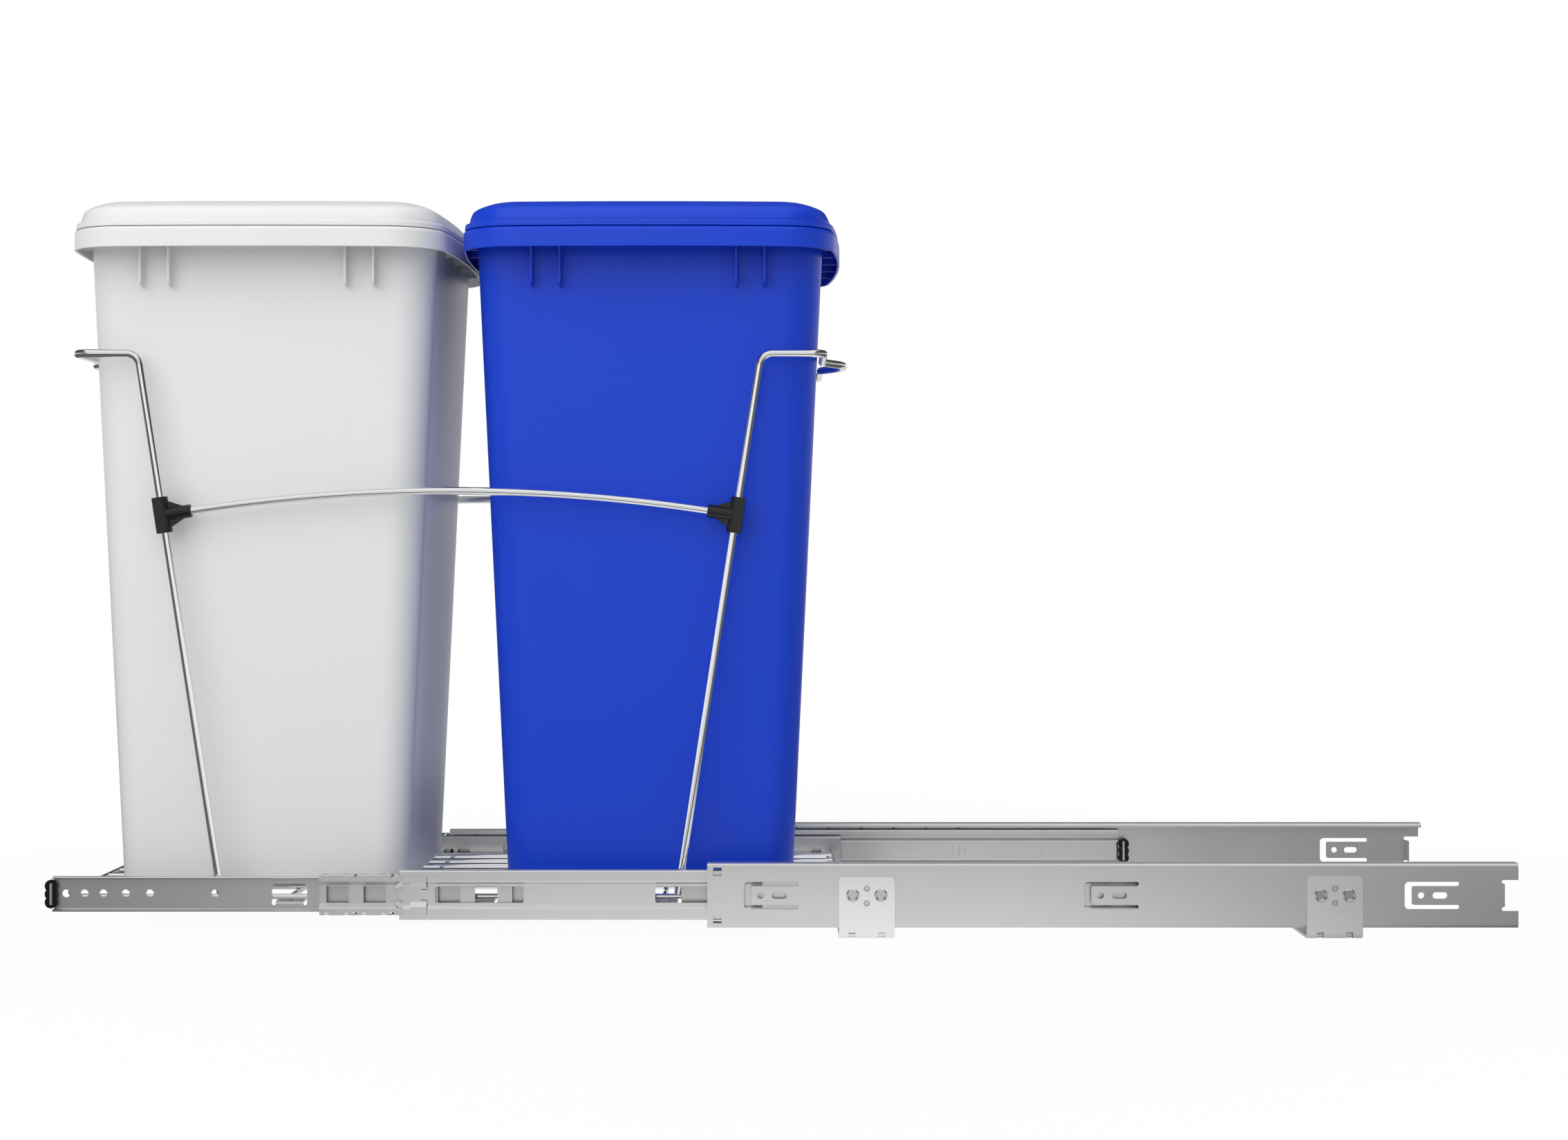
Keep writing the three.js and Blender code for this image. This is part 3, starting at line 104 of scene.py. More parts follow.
class Slot(Enum):
    """Material slots of the record."""

    RAIL = "rail"
    RIVET = "rivet"
    SLIDE = "slide"
    CAGE = "cage"
    WIRE = "wire"
    TEE = "tee"
    BUFFER = "buffer"
    WHITE = "white_plastic"
    BLUE = "blue_plastic"


# ---- Shader maths ----


class Signal:
    """One shader value that takes part in Python arithmetic."""

    def __init__(self, graph: "Graph", socket: Socket) -> None:
        """Wraps an output socket of a graph."""
        self.graph = graph
        self.socket = socket

    def _maths(self, operation: str, other: "Signal | float", swapped: bool = False) -> "Signal":
        """Adds a Math node.

        Args:
            operation: Blender's name of the operation.
            other: The second value.
            swapped: Whether the other value comes first.

        Returns:
            The node's result.
        """
        first, second = (other, self) if swapped else (self, other)
        return self.graph.value("ShaderNodeMath", {"operation": operation}, {0: first, 1: second})

    def __add__(self, other: "Signal | float") -> "Signal":
        """Sum."""
        return self._maths("ADD", other)

    def __radd__(self, other: float) -> "Signal":
        """Sum with the number first."""
        return self._maths("ADD", other, swapped=True)

    def __sub__(self, other: "Signal | float") -> "Signal":
        """Difference."""
        return self._maths("SUBTRACT", other)

    def __rsub__(self, other: float) -> "Signal":
        """Difference with the number first."""
        return self._maths("SUBTRACT", other, swapped=True)

    def __mul__(self, other: "Signal | float") -> "Signal":
        """Product."""
        return self._maths("MULTIPLY", other)

    def __rmul__(self, other: float) -> "Signal":
        """Product with the number first."""
        return self._maths("MULTIPLY", other, swapped=True)

    def __pow__(self, other: float) -> "Signal":
        """Power."""
        return self._maths("POWER", other)

    def __abs__(self) -> "Signal":
        """Size without sign."""
        return (self ** 2) ** 0.5


class Graph:
    """A node tree that is filled by plain calls."""

    def __init__(self, tree: bpy.types.NodeTree) -> None:
        """Takes a tree and empties it."""
        self.tree = tree
        tree.nodes.clear()

    def node(self, kind: str, settings: dict | None = None, inputs: dict | None = None) -> Node:
        """Adds a node.

        Args:
            kind: The node's type.
            settings: Attributes, which are set first.
            inputs: Values, signals or sockets by input name or number.

        Returns:
            The node.
        """
        made = self.tree.nodes.new(kind)
        for name, value in (settings or {}).items():
            setattr(made, name, value)
        for name, value in (inputs or {}).items():
            self.feed(made.inputs[name], value)
        return made

    def value(
        self,
        kind: str,
        settings: dict | None = None,
        inputs: dict | None = None,
        output: str | int = 0,
    ) -> Signal:
        """Adds a node and returns one of its outputs as a signal."""
        return Signal(self, self.node(kind, settings, inputs).outputs[output])

    def step(self, value: Signal, start: float, end: float) -> Signal:
        """Rises smoothly from 0 at the start to 1 at the end."""
        settings = {"interpolation_type": "SMOOTHSTEP"}
        inputs = {"Value": value, "From Min": start, "From Max": end}
        return self.value("ShaderNodeMapRange", settings, inputs)

    def mix(self, share: "Signal | float", first: object, second: object) -> Signal:
        """Mixes two colours by a share."""
        mixer = self.node("ShaderNodeMix", {"data_type": "RGBA"}, {0: share, 6: first, 7: second})
        return Signal(self, mixer.outputs[2])

    def feed(self, socket: Socket, value: object) -> None:
        """Links a signal or socket, or sets a plain value."""
        if isinstance(value, Signal):
            self.tree.links.new(value.socket, socket)
        elif isinstance(value, Socket):
            self.tree.links.new(value, socket)
        else:
            socket.default_value = value

    def rays(self) -> tuple[Signal, Signal, Signal]:
        """Whether a ray is the camera's, a glossy one, or one that went through something."""
        paths = self.node("ShaderNodeLightPath")
        names = ("Is Camera Ray", "Is Glossy Ray", "Is Transmission Ray")
        seen, glossy, through = (Signal(self, paths.outputs[name]) for name in names)
        return seen, glossy, through

    def axes(self, output: str) -> tuple[Signal, Signal, Signal]:
        """The three parts of a texture coordinate."""
        place = self.value("ShaderNodeTexCoord", output=output)
        split = self.node("ShaderNodeSeparateXYZ", {}, {0: place})
        x, y, z = (Signal(self, socket) for socket in split.outputs)
        return x, y, z


def linear(srgb: tuple[int, int, int]) -> Colour:
    """Turns a colour of 0 to 255 into the linear one that shaders take."""
    channels = [c / 255 for c in srgb]
    return (*[c / 12.92 if c <= 0.04045 else ((c + 0.055) / 1.055) ** 2.4 for c in channels], 1.0)


@dataclass(frozen=True)
class Finish:
    """What all finishes have: a name, a colour and a gloss, with fine unevenness in both."""

    name: str
    slot: Slot
    colour: tuple[int, int, int]
    roughness: float
    metallic: float = 0.0
    unevenness: float = 0.04
    patch_size: float = 60.0
    grain_size: float = 0.6
    grain_height: float = 0.004
    specular: float = 0.5

    def material(self) -> bpy.types.Material:
        """The finish as a material, built once.

        Returns:
            The material.
        """
        found = bpy.data.materials.get(self.name)
        if found:
            return found
        made = bpy.data.materials.new(self.name)
        made.use_nodes = True
        graph = Graph(made.node_tree)
        shader = graph.node("ShaderNodeBsdfPrincipled")
        out = graph.node("ShaderNodeOutputMaterial")
        made.node_tree.links.new(shader.outputs[0], out.inputs[0])
        shader.inputs["Metallic"].default_value = self.metallic
        shader.inputs["Specular IOR Level"].default_value = self.specular
        self._dress(graph, shader)
        return made

    def _noise(self, graph: Graph, stretch: Point, detail: float = 2.0) -> Signal:
        """Noise of 0 to 1 on object coordinates, scaled so that one unit is one patch."""
        place = graph.value("ShaderNodeTexCoord", output="Object")
        place = graph.value("ShaderNodeMapping", {}, {"Vector": place, "Scale": stretch})
        inputs = {"Vector": place, "Scale": 1.0, "Detail": detail, "Roughness": 0.55}
        return graph.value("ShaderNodeTexNoise", {}, inputs)

    def _clouds(self, graph: Graph) -> Signal:
        """Noise in patches of equal reach."""
        patch = 1 / (self.patch_size * MM)
        return self._noise(graph, (patch, patch, patch))

    def _colour(self, graph: Graph, shader: Node, share: Signal) -> None:
        """Feeds the base colour, with its slightly deeper tone at a share of 1."""
        plain = linear(self.colour)
        deep = tuple(c * (1 - 2 * self.unevenness) for c in plain[:3]) + (1.0,)
        graph.feed(shader.inputs["Base Color"], graph.mix(share, plain, deep))

    def _raise(self, graph: Graph, shader: Node, height: Signal, strength: float) -> None:
        """Feeds a fine relief."""
        inputs = {"Height": height, "Strength": strength, "Distance": self.grain_height * MM}
        graph.feed(shader.inputs["Normal"], graph.value("ShaderNodeBump", {}, inputs))

    def _dress(self, graph: Graph, shader: Node) -> None:
        """Colour, gloss and grain for a moulded or cast surface.

        Args:
            graph: The material's nodes.
            shader: Its main shader.
        """
        grain, uneven = 1 / (self.grain_size * MM), self.unevenness
        clouds = self._clouds(graph)
        speckle = self._noise(graph, (grain, grain, grain), 1.0)
        self._colour(graph, shader, clouds)
        gloss = self.roughness + (clouds - 0.5) * uneven + (speckle - 0.5) * uneven
        graph.feed(shader.inputs["Roughness"], gloss)
        self._raise(graph, shader, speckle, 0.5)


@dataclass(frozen=True)
class RolledSteel(Finish):
    """Plated strip with the faint lines of rolling along X and cloudy plating."""

    line_length: float = 90.0
    line_width: float = 0.35

    def _dress(self, graph: Graph, shader: Node) -> None:
        """Colour and gloss with rolling lines.

        Args:
            graph: The material's nodes.
            shader: Its main shader.
        """
        along, across = 1 / (self.line_length * MM), 1 / (self.line_width * MM)
        lines = self._noise(graph, (along, across, across), 3.0)
        clouds = self._clouds(graph)
        self._colour(graph, shader, clouds * 0.5 + lines * 0.5)
        uneven = self.unevenness
        gloss = self.roughness + (lines - 0.5) * uneven * 2 + (clouds - 0.5) * uneven
        graph.feed(shader.inputs["Roughness"], gloss)
        self._raise(graph, shader, lines, 0.3)


ZINC = RolledSteel(
    "zinc_strip", Slot.SLIDE, (222, 222, 220), 0.3, metallic=0.88, unevenness=0.03
)
# Zinc strip darkened as painted shade, for the darker surroundings that the drawer channel's web
# faces.
SHADE_DARKENED_ZINC = RolledSteel("shade_darkened_zinc_strip", Slot.SLIDE, (207, 207, 205), 0.3, metallic=0.85)
BRIGHT_ZINC = RolledSteel(
    "bright_zinc_plate", Slot.RAIL, (246, 247, 247), 0.26, metallic=0.85, unevenness=0.02
)
CAGE_STEEL = RolledSteel(
    "cage_strip", Slot.CAGE, (212, 213, 211), 0.34, metallic=0.8, unevenness=0.03
)
NICKEL = Finish(
    "nickel_rivet", Slot.RIVET, (214, 214, 214), 0.22, metallic=1.0, grain_height=0.001
)
CHROME = Finish(
    "chrome_wire", Slot.WIRE, (240, 241, 242), 0.045,
    metallic=1.0, unevenness=0.02, grain_height=0.0002,
)
BALL_STEEL = Finish(
    "ball_steel", Slot.CAGE, (190, 190, 190), 0.16, metallic=1.0, grain_height=0.0
)
BLACK_PLASTIC = Finish("black_moulding", Slot.TEE, (13, 13, 14), 0.27, grain_height=0.005)
RUBBER = Finish(
    "buffer_rubber", Slot.BUFFER, (9, 9, 10), 0.5, grain_height=0.01, specular=0.32
)
WHITE_PLASTIC = Finish("white_moulding", Slot.WHITE, (227, 228, 227), 0.36, unevenness=0.012)
BLUE_PLASTIC = Finish(
    "blue_moulding", Slot.BLUE, (8, 62, 204), 0.37, unevenness=0.03, specular=0.36
)


# ---- Outlines ----


def fold(corners: Sequence[Pair], sheet: float, bend: float, steps: int = 6) -> list[Pair]:
    """Outlines a folded strip.

    Args:
        corners: The strip's middle line.
        sheet: The strip's thickness.
        bend: The middle line's radius at each inner corner.
        steps: Facets to a bend.

    Returns:
        The closed outline.
    """
    left: list[Pair] = []
    right: list[Pair] = []

    def put(x: float, y: float, angle: float) -> None:
        """Adds one point on each face of the strip."""
        dx, dy = -math.sin(angle) * sheet / 2, math.cos(angle) * sheet / 2
        left.append((x + dx, y + dy))
        right.append((x - dx, y - dy))

    def heading(a: Pair, b: Pair) -> float:
        """The angle from one point to the next."""
        return math.atan2(b[1] - a[1], b[0] - a[0])

    put(*corners[0], heading(corners[0], corners[1]))
    for before, here, after in zip(corners, corners[1:], corners[2:]):
        start = heading(before, here)
        turn = math.remainder(heading(here, after) - start, FULL_TURN)
        run = bend * math.tan(abs(turn) / 2)
        hand = math.copysign(1, turn)
        cx = here[0] - math.cos(start) * run - hand * math.sin(start) * bend
        cy = here[1] - math.sin(start) * run + hand * math.cos(start) * bend
        for k in range(steps + 1):
            angle = start + turn * k / steps
            put(cx + hand * math.sin(angle) * bend, cy - hand * math.cos(angle) * bend, angle)
    put(*corners[-1], heading(corners[-2], corners[-1]))
    return left + right[::-1]


def mirrored(upper: Sequence[tuple[float, ...]]) -> list[tuple[float, ...]]:
    """Adds the mirror image below the middle line to points or corners above it."""
    return [*upper, *[(first, -height, *rest) for first, height, *rest in reversed(upper)]]


def ordered(first: float, second: float) -> Pair:
    """Two values, the smaller one first."""
    return (min(first, second), max(first, second))


def turns(span: float, steps: int) -> list[float]:
    """Angles from nothing to a span, in equal steps."""
    return [span * k / steps for k in range(steps + 1)]


def arc(centre: Pair, radius: float, start: float, end: float, steps: int) -> list[Pair]:
    """Points on a circle from one angle to another."""
    angles = [start + turn for turn in turns(end - start, steps)]
    return [(centre[0] + radius * math.cos(a), centre[1] + radius * math.sin(a)) for a in angles]


def rounded(corners: Sequence[Point], steps: int = 6) -> list[Pair]:
    """Outlines a polygon with rounded corners.

    Args:
        corners: (u, v, radius) of each corner, in order.
        steps: Facets to a corner.

    Returns:
        The closed outline.
    """
    outline: list[Pair] = []
    count = len(corners)
    for i, (u, v, radius) in enumerate(corners):
        here = Vector((u, v))
        if radius <= 0:
            outline.append((u, v))
            continue
        to_last = (Vector(corners[i - 1][:2]) - here).normalized()
        to_next = (Vector(corners[(i + 1) % count][:2]) - here).normalized()
        half = to_last.angle(to_next) / 2
        centre = here + (to_last + to_next).normalized() * radius / math.sin(half)
        start = here + to_last * radius / math.tan(half) - centre
        end = here + to_next * radius / math.tan(half) - centre
        span = start.angle(end)
        for k in range(steps + 1):
            a, b = math.sin(span * (1 - k / steps)), math.sin(span * k / steps)
            spot = centre + (start * a + end * b) / math.sin(span)
            outline.append((spot.x, spot.y))
    return outline


def oblong(u: Pair, v: Pair, radius: float, steps: int = 6) -> list[Pair]:
    """Outlines a rectangle with four equal corner radii."""
    (u0, u1), (v0, v1) = u, v
    return rounded([(u0, v0, radius), (u1, v0, radius), (u1, v1, radius), (u0, v1, radius)], steps)


def disc(centre: Pair, diameter: float, sides: int = 24) -> list[Pair]:
    """Outlines a circle."""
    return arc(centre, diameter / 2, 0, FULL_TURN, sides)[:-1]


def along_x(u: float, v: float, w: float) -> Point:
    """Places an outline of (y, z) points, drawn out along X."""
    return (w, u, v)


def along_y(u: float, v: float, w: float) -> Point:
    """Places an outline of (x, z) points, drawn out along Y."""
    return (u, w, v)


def along_z(u: float, v: float, w: float) -> Point:
    """Places an outline of (x, y) points, drawn out along Z."""
    return (u, v, w)


class Form:
    """Closed shapes in millimetres, gathered for one mesh."""

    def __init__(self) -> None:
        """Starts empty."""
        self.points: list[Point] = []
        self.faces: list[tuple[int, ...]] = []

    def add(self, points: Iterable[Point], faces: Iterable[Sequence[int]]) -> "Form":
        """Adds a shape by its own points and faces."""
        base = len(self.points)
        self.points.extend(points)
        self.faces.extend(tuple(base + i for i in face) for face in faces)
        return self

    def prism(self, outline: Sequence[Pair], place: Placer, span: Pair) -> "Form":
        """Adds an outline drawn out over a span."""
        count = len(outline)
        points = [place(u, v, end) for end in span for u, v in outline]
        sides = [(i, (i + 1) % count, (i + 1) % count + count, i + count) for i in range(count)]
        return self.add(points, [tuple(range(count))[::-1], tuple(range(count, 2 * count)), *sides])

    def box(self, x: Pair, y: Pair, z: Pair) -> "Form":
        """Adds a box."""
        return self.prism([(x[0], y[0]), (x[1], y[0]), (x[1], y[1]), (x[0], y[1])], along_z, z)

    def plate(self, x: Pair, half: float, corner: float, depth: Pair, steps: int = 6) -> "Form":
        """Adds an oblong about the middle line, drawn out along Y.

        Args:
            x: Its ends.
            half: Its half height.
            corner: Its corner radius.
            depth: Where it starts and ends along Y.
            steps: Facets to a corner.

        Returns:
            The form itself.
        """
        return self.prism(oblong(x, (-half, half), corner, steps), along_y, depth)

    def turned(
        self, profile: Sequence[Pair], place: Placer, centre: Pair, sides: int = 24
    ) -> "Form":
        """Adds a turned shape.

        Args:
            profile: (radius, height) points, of which the first and the last lie on the axis.
            place: What turns (u, v, height) into a point.
            centre: The axis, as (u, v).
            sides: Facets round it.

        Returns:
            The form itself.
        """
        inner = profile[1:-1]
        points = [place(*centre, profile[0][1]), place(*centre, profile[-1][1])]
        for radius, level in inner:
            points += [place(u, v, level) for u, v in disc(centre, 2 * radius, sides)]
        return self.add(points, self.skin(sides, len(inner), 2, (0, 1)))

    def rod(self, place: Placer, radius: float, span: Pair) -> "Form":
        """Adds a round rod on an axis through the origin."""
        low, high = span
        profile = [(0, low), (radius, low), (radius, high), (0, high)]
        return self.turned(profile, place, (0, 0), 32)

    def ball(self, centre: Point, diameter: float, sides: int = 12, rings: int = 7) -> "Form":
        """Adds a ball."""
        radius = diameter / 2
        profile = [
            (radius * math.sin(a), centre[2] - radius * math.cos(a)) for a in turns(math.pi, rings)
        ]
        return self.turned(profile, along_z, (centre[0], centre[1]), sides)

    def loft(self, rings: Sequence[Ring], start: float, end: float) -> "Form":
        """Adds a skin over rings of equal count, closed at both ends by a fan.

        Args:
            rings: (outline, height) of each ring.
            start: Height of the first ring's middle.
            end: Height of the last ring's middle.

        Returns:
            The form itself.
        """
        first = rings[0][0]
        count = len(first)
        points: list[Point] = [(x, y, z) for outline, z in rings for x, y in outline]
        middle = (sum(x for x, _ in first) / count, sum(y for _, y in first) / count)
        caps = (len(points), len(points) + 1)
        points += [(*middle, start), (*middle, end)]
        return self.add(points, self.skin(count, len(rings), 0, caps))

    @staticmethod
    def skin(count: int, levels: int, base: int, caps: tuple[int, int]) -> list[tuple[int, ...]]:
        """Faces over rings of equal count, with a fan at each end.

        Args:
            count: Points to a ring.
            levels: How many rings there are.
            base: The first ring's first point.
            caps: The middle points of the first and the last ring.

        Returns:
            The faces.
        """
        last = base + (levels - 1) * count
        faces: list[tuple[int, ...]] = []
        for i in range(count):
            j = (i + 1) % count
            faces.append((caps[0], base + j, base + i))
            faces.append((caps[1], last + i, last + j))
            for level in range(levels - 1):
                a = base + level * count
                faces.append((a + i, a + j, a + j + count, a + i + count))
        return faces

    def mesh(self, name: str) -> Mesh:
        """Makes the mesh, in metres, with its faces outwards.

        Args:
            name: The mesh's name.

        Returns:
            The mesh.
        """
        made = bpy.data.meshes.new(name)
        made.from_pydata([tuple(c * MM for c in p) for p in self.points], [], self.faces)
        work = bmesh.new()
        work.from_mesh(made)
        bmesh.ops.remove_doubles(work, verts=work.verts, dist=MERGE_DISTANCE)
        bmesh.ops.recalc_face_normals(work, faces=work.faces)
        work.to_mesh(made)
        work.free()
        return made


# ---- Geometry Nodes ----


class NodeRecipe:
    """A Geometry Nodes tree with named inputs that turns one mesh into another."""

    def __init__(self, name: str, inputs: Sequence[tuple[str, str]]) -> None:
        """Opens a tree.

        Args:
            name: The tree's name.
            inputs: (name, socket type) of each input after the geometry.
        """
        self.tree = bpy.data.node_groups.new(name, "GeometryNodeTree")
        face = self.tree.interface
        face.new_socket(name="Geometry", in_out="INPUT", socket_type="NodeSocketGeometry")
        self.names = {
            label: face.new_socket(name=label, in_out="INPUT", socket_type=kind).identifier
            for label, kind in inputs
        }
        face.new_socket(name="Geometry", in_out="OUTPUT", socket_type="NodeSocketGeometry")
        self.source = self.tree.nodes.new("NodeGroupInput")

    def node(self, kind: str, settings: dict | None = None, inputs: dict | None = None) -> Node:
        """Adds a node with its settings, and links or values for its inputs.

        Args:
            kind: The node's type.
            settings: Its attributes.
            inputs: Values or sockets by input name.

        Returns:
            The node.
        """
        made = self.tree.nodes.new(kind)
        for name, value in (settings or {}).items():
            setattr(made, name, value)
        for name, value in (inputs or {}).items():
            if isinstance(value, Socket):
                self.tree.links.new(value, made.inputs[name])
            else:
                made.inputs[name].default_value = value
        return made

    def close(self, geometry: Socket) -> None:
        """Ends the tree in Realize Instances and Set Material."""
        real = self.node("GeometryNodeRealizeInstances", {}, {"Geometry": geometry})
        inputs = {"Geometry": real.outputs[0], "Material": self.source.outputs["Finish"]}
        dressed = self.node("GeometryNodeSetMaterial", {}, inputs)
        out = self.tree.nodes.new("NodeGroupOutput")
        self.tree.links.new(dressed.outputs[0], out.inputs[0])

    def run(self, mesh: Mesh, values: dict[str, object]) -> Mesh:
        """Runs the tree on a mesh.

        Args:
            mesh: What goes in.
            values: Each input's value by its name.

        Returns:
            A plain mesh.
        """
        holder = Bench.hold(mesh)
        modifier = holder.modifiers.new("recipe", "NODES")
        modifier.node_group = self.tree
        for label, value in values.items():
            modifier[self.names[label]] = value
        return Bench.release(holder)


class WireRecipe(NodeRecipe):
    """Round wire along a path of edges."""

    def __init__(self) -> None:
        """Builds the tree."""
        kinds = [
            ("Wire radius", "NodeSocketFloat"), ("Sides", "NodeSocketInt"),
            ("Finish", "NodeSocketMaterial"),
        ]
        super().__init__("wire_along_path", kinds)
        line = self.node("GeometryNodeMeshToCurve", {}, {"Mesh": self.source.outputs["Geometry"]})
        radius = self.source.outputs["Wire radius"]
        inputs = {"Resolution": self.source.outputs["Sides"], "Radius": radius}
        circle = self.node("GeometryNodeCurvePrimitiveCircle", {"mode": "RADIUS"}, inputs)
        inputs = {"Curve": line.outputs[0], "Profile Curve": circle.outputs[0], "Fill Caps": True}
        tube = self.node("GeometryNodeCurveToMesh", {}, inputs)
        self.close(tube.outputs[0])

    def sweep(
        self, name: str, paths: Sequence[Sequence[Point]], diameter: float, sides: int = 24
    ) -> Mesh:
        """Sweeps wire along paths given in millimetres.

        Args:
            name: The mesh's name.
            paths: The middle lines.
            diameter: The wire's diameter.
            sides: Facets round the wire.

        Returns:
            One mesh of closed tubes.
        """
        points: list[Point] = []
        edges: list[tuple[int, int]] = []
        for path in paths:
            base = len(points)
            points += [tuple(c * MM for c in p) for p in path]
            edges += [(base + i, base + i + 1) for i in range(len(path) - 1)]
        lines = bpy.data.meshes.new(name)
        lines.from_pydata(points, edges, [])
        values = {"Wire radius": diameter / 2 * MM, "Sides": sides, "Finish": CHROME.material()}
        return self.run(lines, values)


class RowRecipe(NodeRecipe):
    """Equal copies of a shape at a pitch along a line."""

    def __init__(self) -> None:
        """Builds the tree."""
        kinds = [
            ("Count", "NodeSocketInt"), ("Pitch", "NodeSocketVector"),
            ("Finish", "NodeSocketMaterial"),
        ]
        super().__init__("row_of_copies", kinds)
        inputs = {"Count": self.source.outputs["Count"], "Offset": self.source.outputs["Pitch"]}
        line = self.node("GeometryNodeMeshLine", {"mode": "OFFSET"}, inputs)
        inputs = {"Points": line.outputs[0], "Instance": self.source.outputs["Geometry"]}
        copies = self.node("GeometryNodeInstanceOnPoints", {}, inputs)
        self.close(copies.outputs[0])

    def repeat(self, mesh: Mesh, count: int, pitch: Point, finish: Finish) -> Mesh:
        """Repeats a mesh in a row, the first copy where the mesh is."""
        step = tuple(c * MM for c in pitch)
        return self.run(mesh, {"Count": count, "Pitch": step, "Finish": finish.material()})


# ---- Bench work ----


class Bench:
    """Modifiers and the hand-over of finished pieces."""

    smooth_angle = math.radians(28)
    edge_angle = math.radians(40)

    @staticmethod
    def hold(mesh: Mesh) -> bpy.types.Object:
        """Puts a mesh on a working object."""
        holder = bpy.data.objects.new("work", mesh)
        bpy.context.scene.collection.objects.link(holder)
        return holder

    @staticmethod
    def release(holder: bpy.types.Object) -> Mesh:
        """Turns a working object with its modifiers into a plain mesh and removes it."""
        graph = bpy.context.evaluated_depsgraph_get()
        made = bpy.data.meshes.new_from_object(holder.evaluated_get(graph))
        holder.modifiers.clear()
        bpy.data.objects.remove(holder)
        return made

    @classmethod
    def carve(cls, body: Mesh, cutters: Sequence[Form]) -> Mesh:
        """Cuts forms out of a mesh, those of one list entry at a time.

        Args:
            body: The mesh to cut.
            cutters: What is cut out, in order.

        Returns:
            The cut mesh.
        """
        for cutter in cutters:
            tool = cls.hold(cutter.mesh("cutter"))
            holder = cls.hold(body)
            modifier = holder.modifiers.new("cut", "BOOLEAN")
            modifier.operation = "DIFFERENCE"
            modifier.solver = "EXACT"
            modifier.object = tool
            body = cls.release(holder)
            bpy.data.objects.remove(tool)
        return body

    @classmethod
    def soften(cls, mesh: Mesh, width: float, segments: int) -> Mesh:
        """Rounds a mesh's sharp edges a little.

        Args:
            mesh: The mesh.
            width: The rounding in millimetres.
            segments: Facets to an edge.

        Returns:
            The rounded mesh.
        """
        holder = cls.hold(mesh)
        bevel = holder.modifiers.new("edges", "BEVEL")
        bevel.width = width * MM
        bevel.segments = segments
        bevel.limit_method = "ANGLE"
        bevel.angle_limit = cls.edge_angle
        return cls.release(holder)

    @classmethod
    def even_shading(cls, mesh: Mesh) -> Mesh:
        """Smooths shallow bends and keeps large faces flat."""
        mesh.shade_smooth()
        mesh.set_sharp_from_angle(angle=cls.smooth_angle)
        holder = cls.hold(mesh)
        weights = holder.modifiers.new("weights", "WEIGHTED_NORMAL")
        weights.keep_sharp = True
        return cls.release(holder)

    @staticmethod
    def joined(meshes: Sequence[Mesh]) -> Mesh:
        """Gathers meshes into one, each shell as it is.

        Args:
            meshes: The meshes.

        Returns:
            All of them as one.
        """
        work = bmesh.new()
        for mesh in meshes:
            work.from_mesh(mesh)
        made = bpy.data.meshes.new("joined")
        work.to_mesh(made)
        work.free()
        return made

    @classmethod
    def publish(
        cls,
        mesh: Mesh,
        name: str,
        finish: Finish,
        body: str,
        nodes: Sequence[str] = (),
        mirror: bool = False,
    ) -> bpy.types.Object:
        """Hands a mesh over as a finished piece.

        Args:
            mesh: The mesh, in metres in the row's frame.
            name: The piece's name.
            finish: Its finish.
            body: The body that it rides on.
            nodes: The CAD nodes that it stands for.
            mirror: Whether it is turned into its mirror image on the left side.

        Returns:
            The piece.
        """
        mesh = mesh.copy()
        if mirror:
            mesh.transform(Matrix.Scale(-1, 4, (0, 1, 0)))
            mesh.flip_normals()
        mesh = cls.even_shading(mesh)
        mesh.name = name
        mesh.materials.clear()
        mesh.materials.append(finish.material())
        piece = bpy.data.objects.new(name, mesh)
        bpy.context.scene.collection.objects.link(piece)
        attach(piece, body)
        if nodes:
            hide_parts(*nodes)
        LOG.info("%s: %d faces, rides on %s", name, len(mesh.polygons), body)
        return piece


# ---- Slides ----


@dataclass
class SlideMember:
    """What the telescoping pieces share. Sections are (depth, height) from the outer face."""

    rows: RowRecipe
    half_spread: float = 147.0
    level: float = 29.5
    sheet: float = 1.2
    overcut: float = 1.0
    edge: float = 0.1
    tab_half: float = 7.45

    def place(self, mesh: Mesh) -> Mesh:
        """Moves a mesh drawn as (x, depth, height) to the right-hand slide."""
        mesh.transform(Matrix.Translation((0, -self.half_spread * MM, self.level * MM)))
        return mesh

    def channel(self, upper: Sequence[Pair], bend: float, x: Pair) -> Mesh:
        """A folded channel of constant section."""
        return Form().prism(fold(mirrored(upper), self.sheet, bend), along_x, x).mesh("channel")

    def both(
        self, mesh: Mesh, stem: str, finish: Finish, body: Body, node: str | None = None
    ) -> None:
        """Publishes a mesh on the right and its mirror image on the left.

        Args:
            mesh: The right-hand mesh.
            stem: The piece's name without its side.
            finish: Its finish.
            body: The body, whose name may hold the side.
            node: The CAD node's name without its side, or None if it stands for none.
        """
        for side in Side:
            nodes = [f"{node}_{side.value}"] if node else []
            target = body.value.format(side=side.value)
            name = f"{stem}_{side.value}"
            Bench.publish(mesh, name, finish, target, nodes, mirror=side is Side.LEFT)


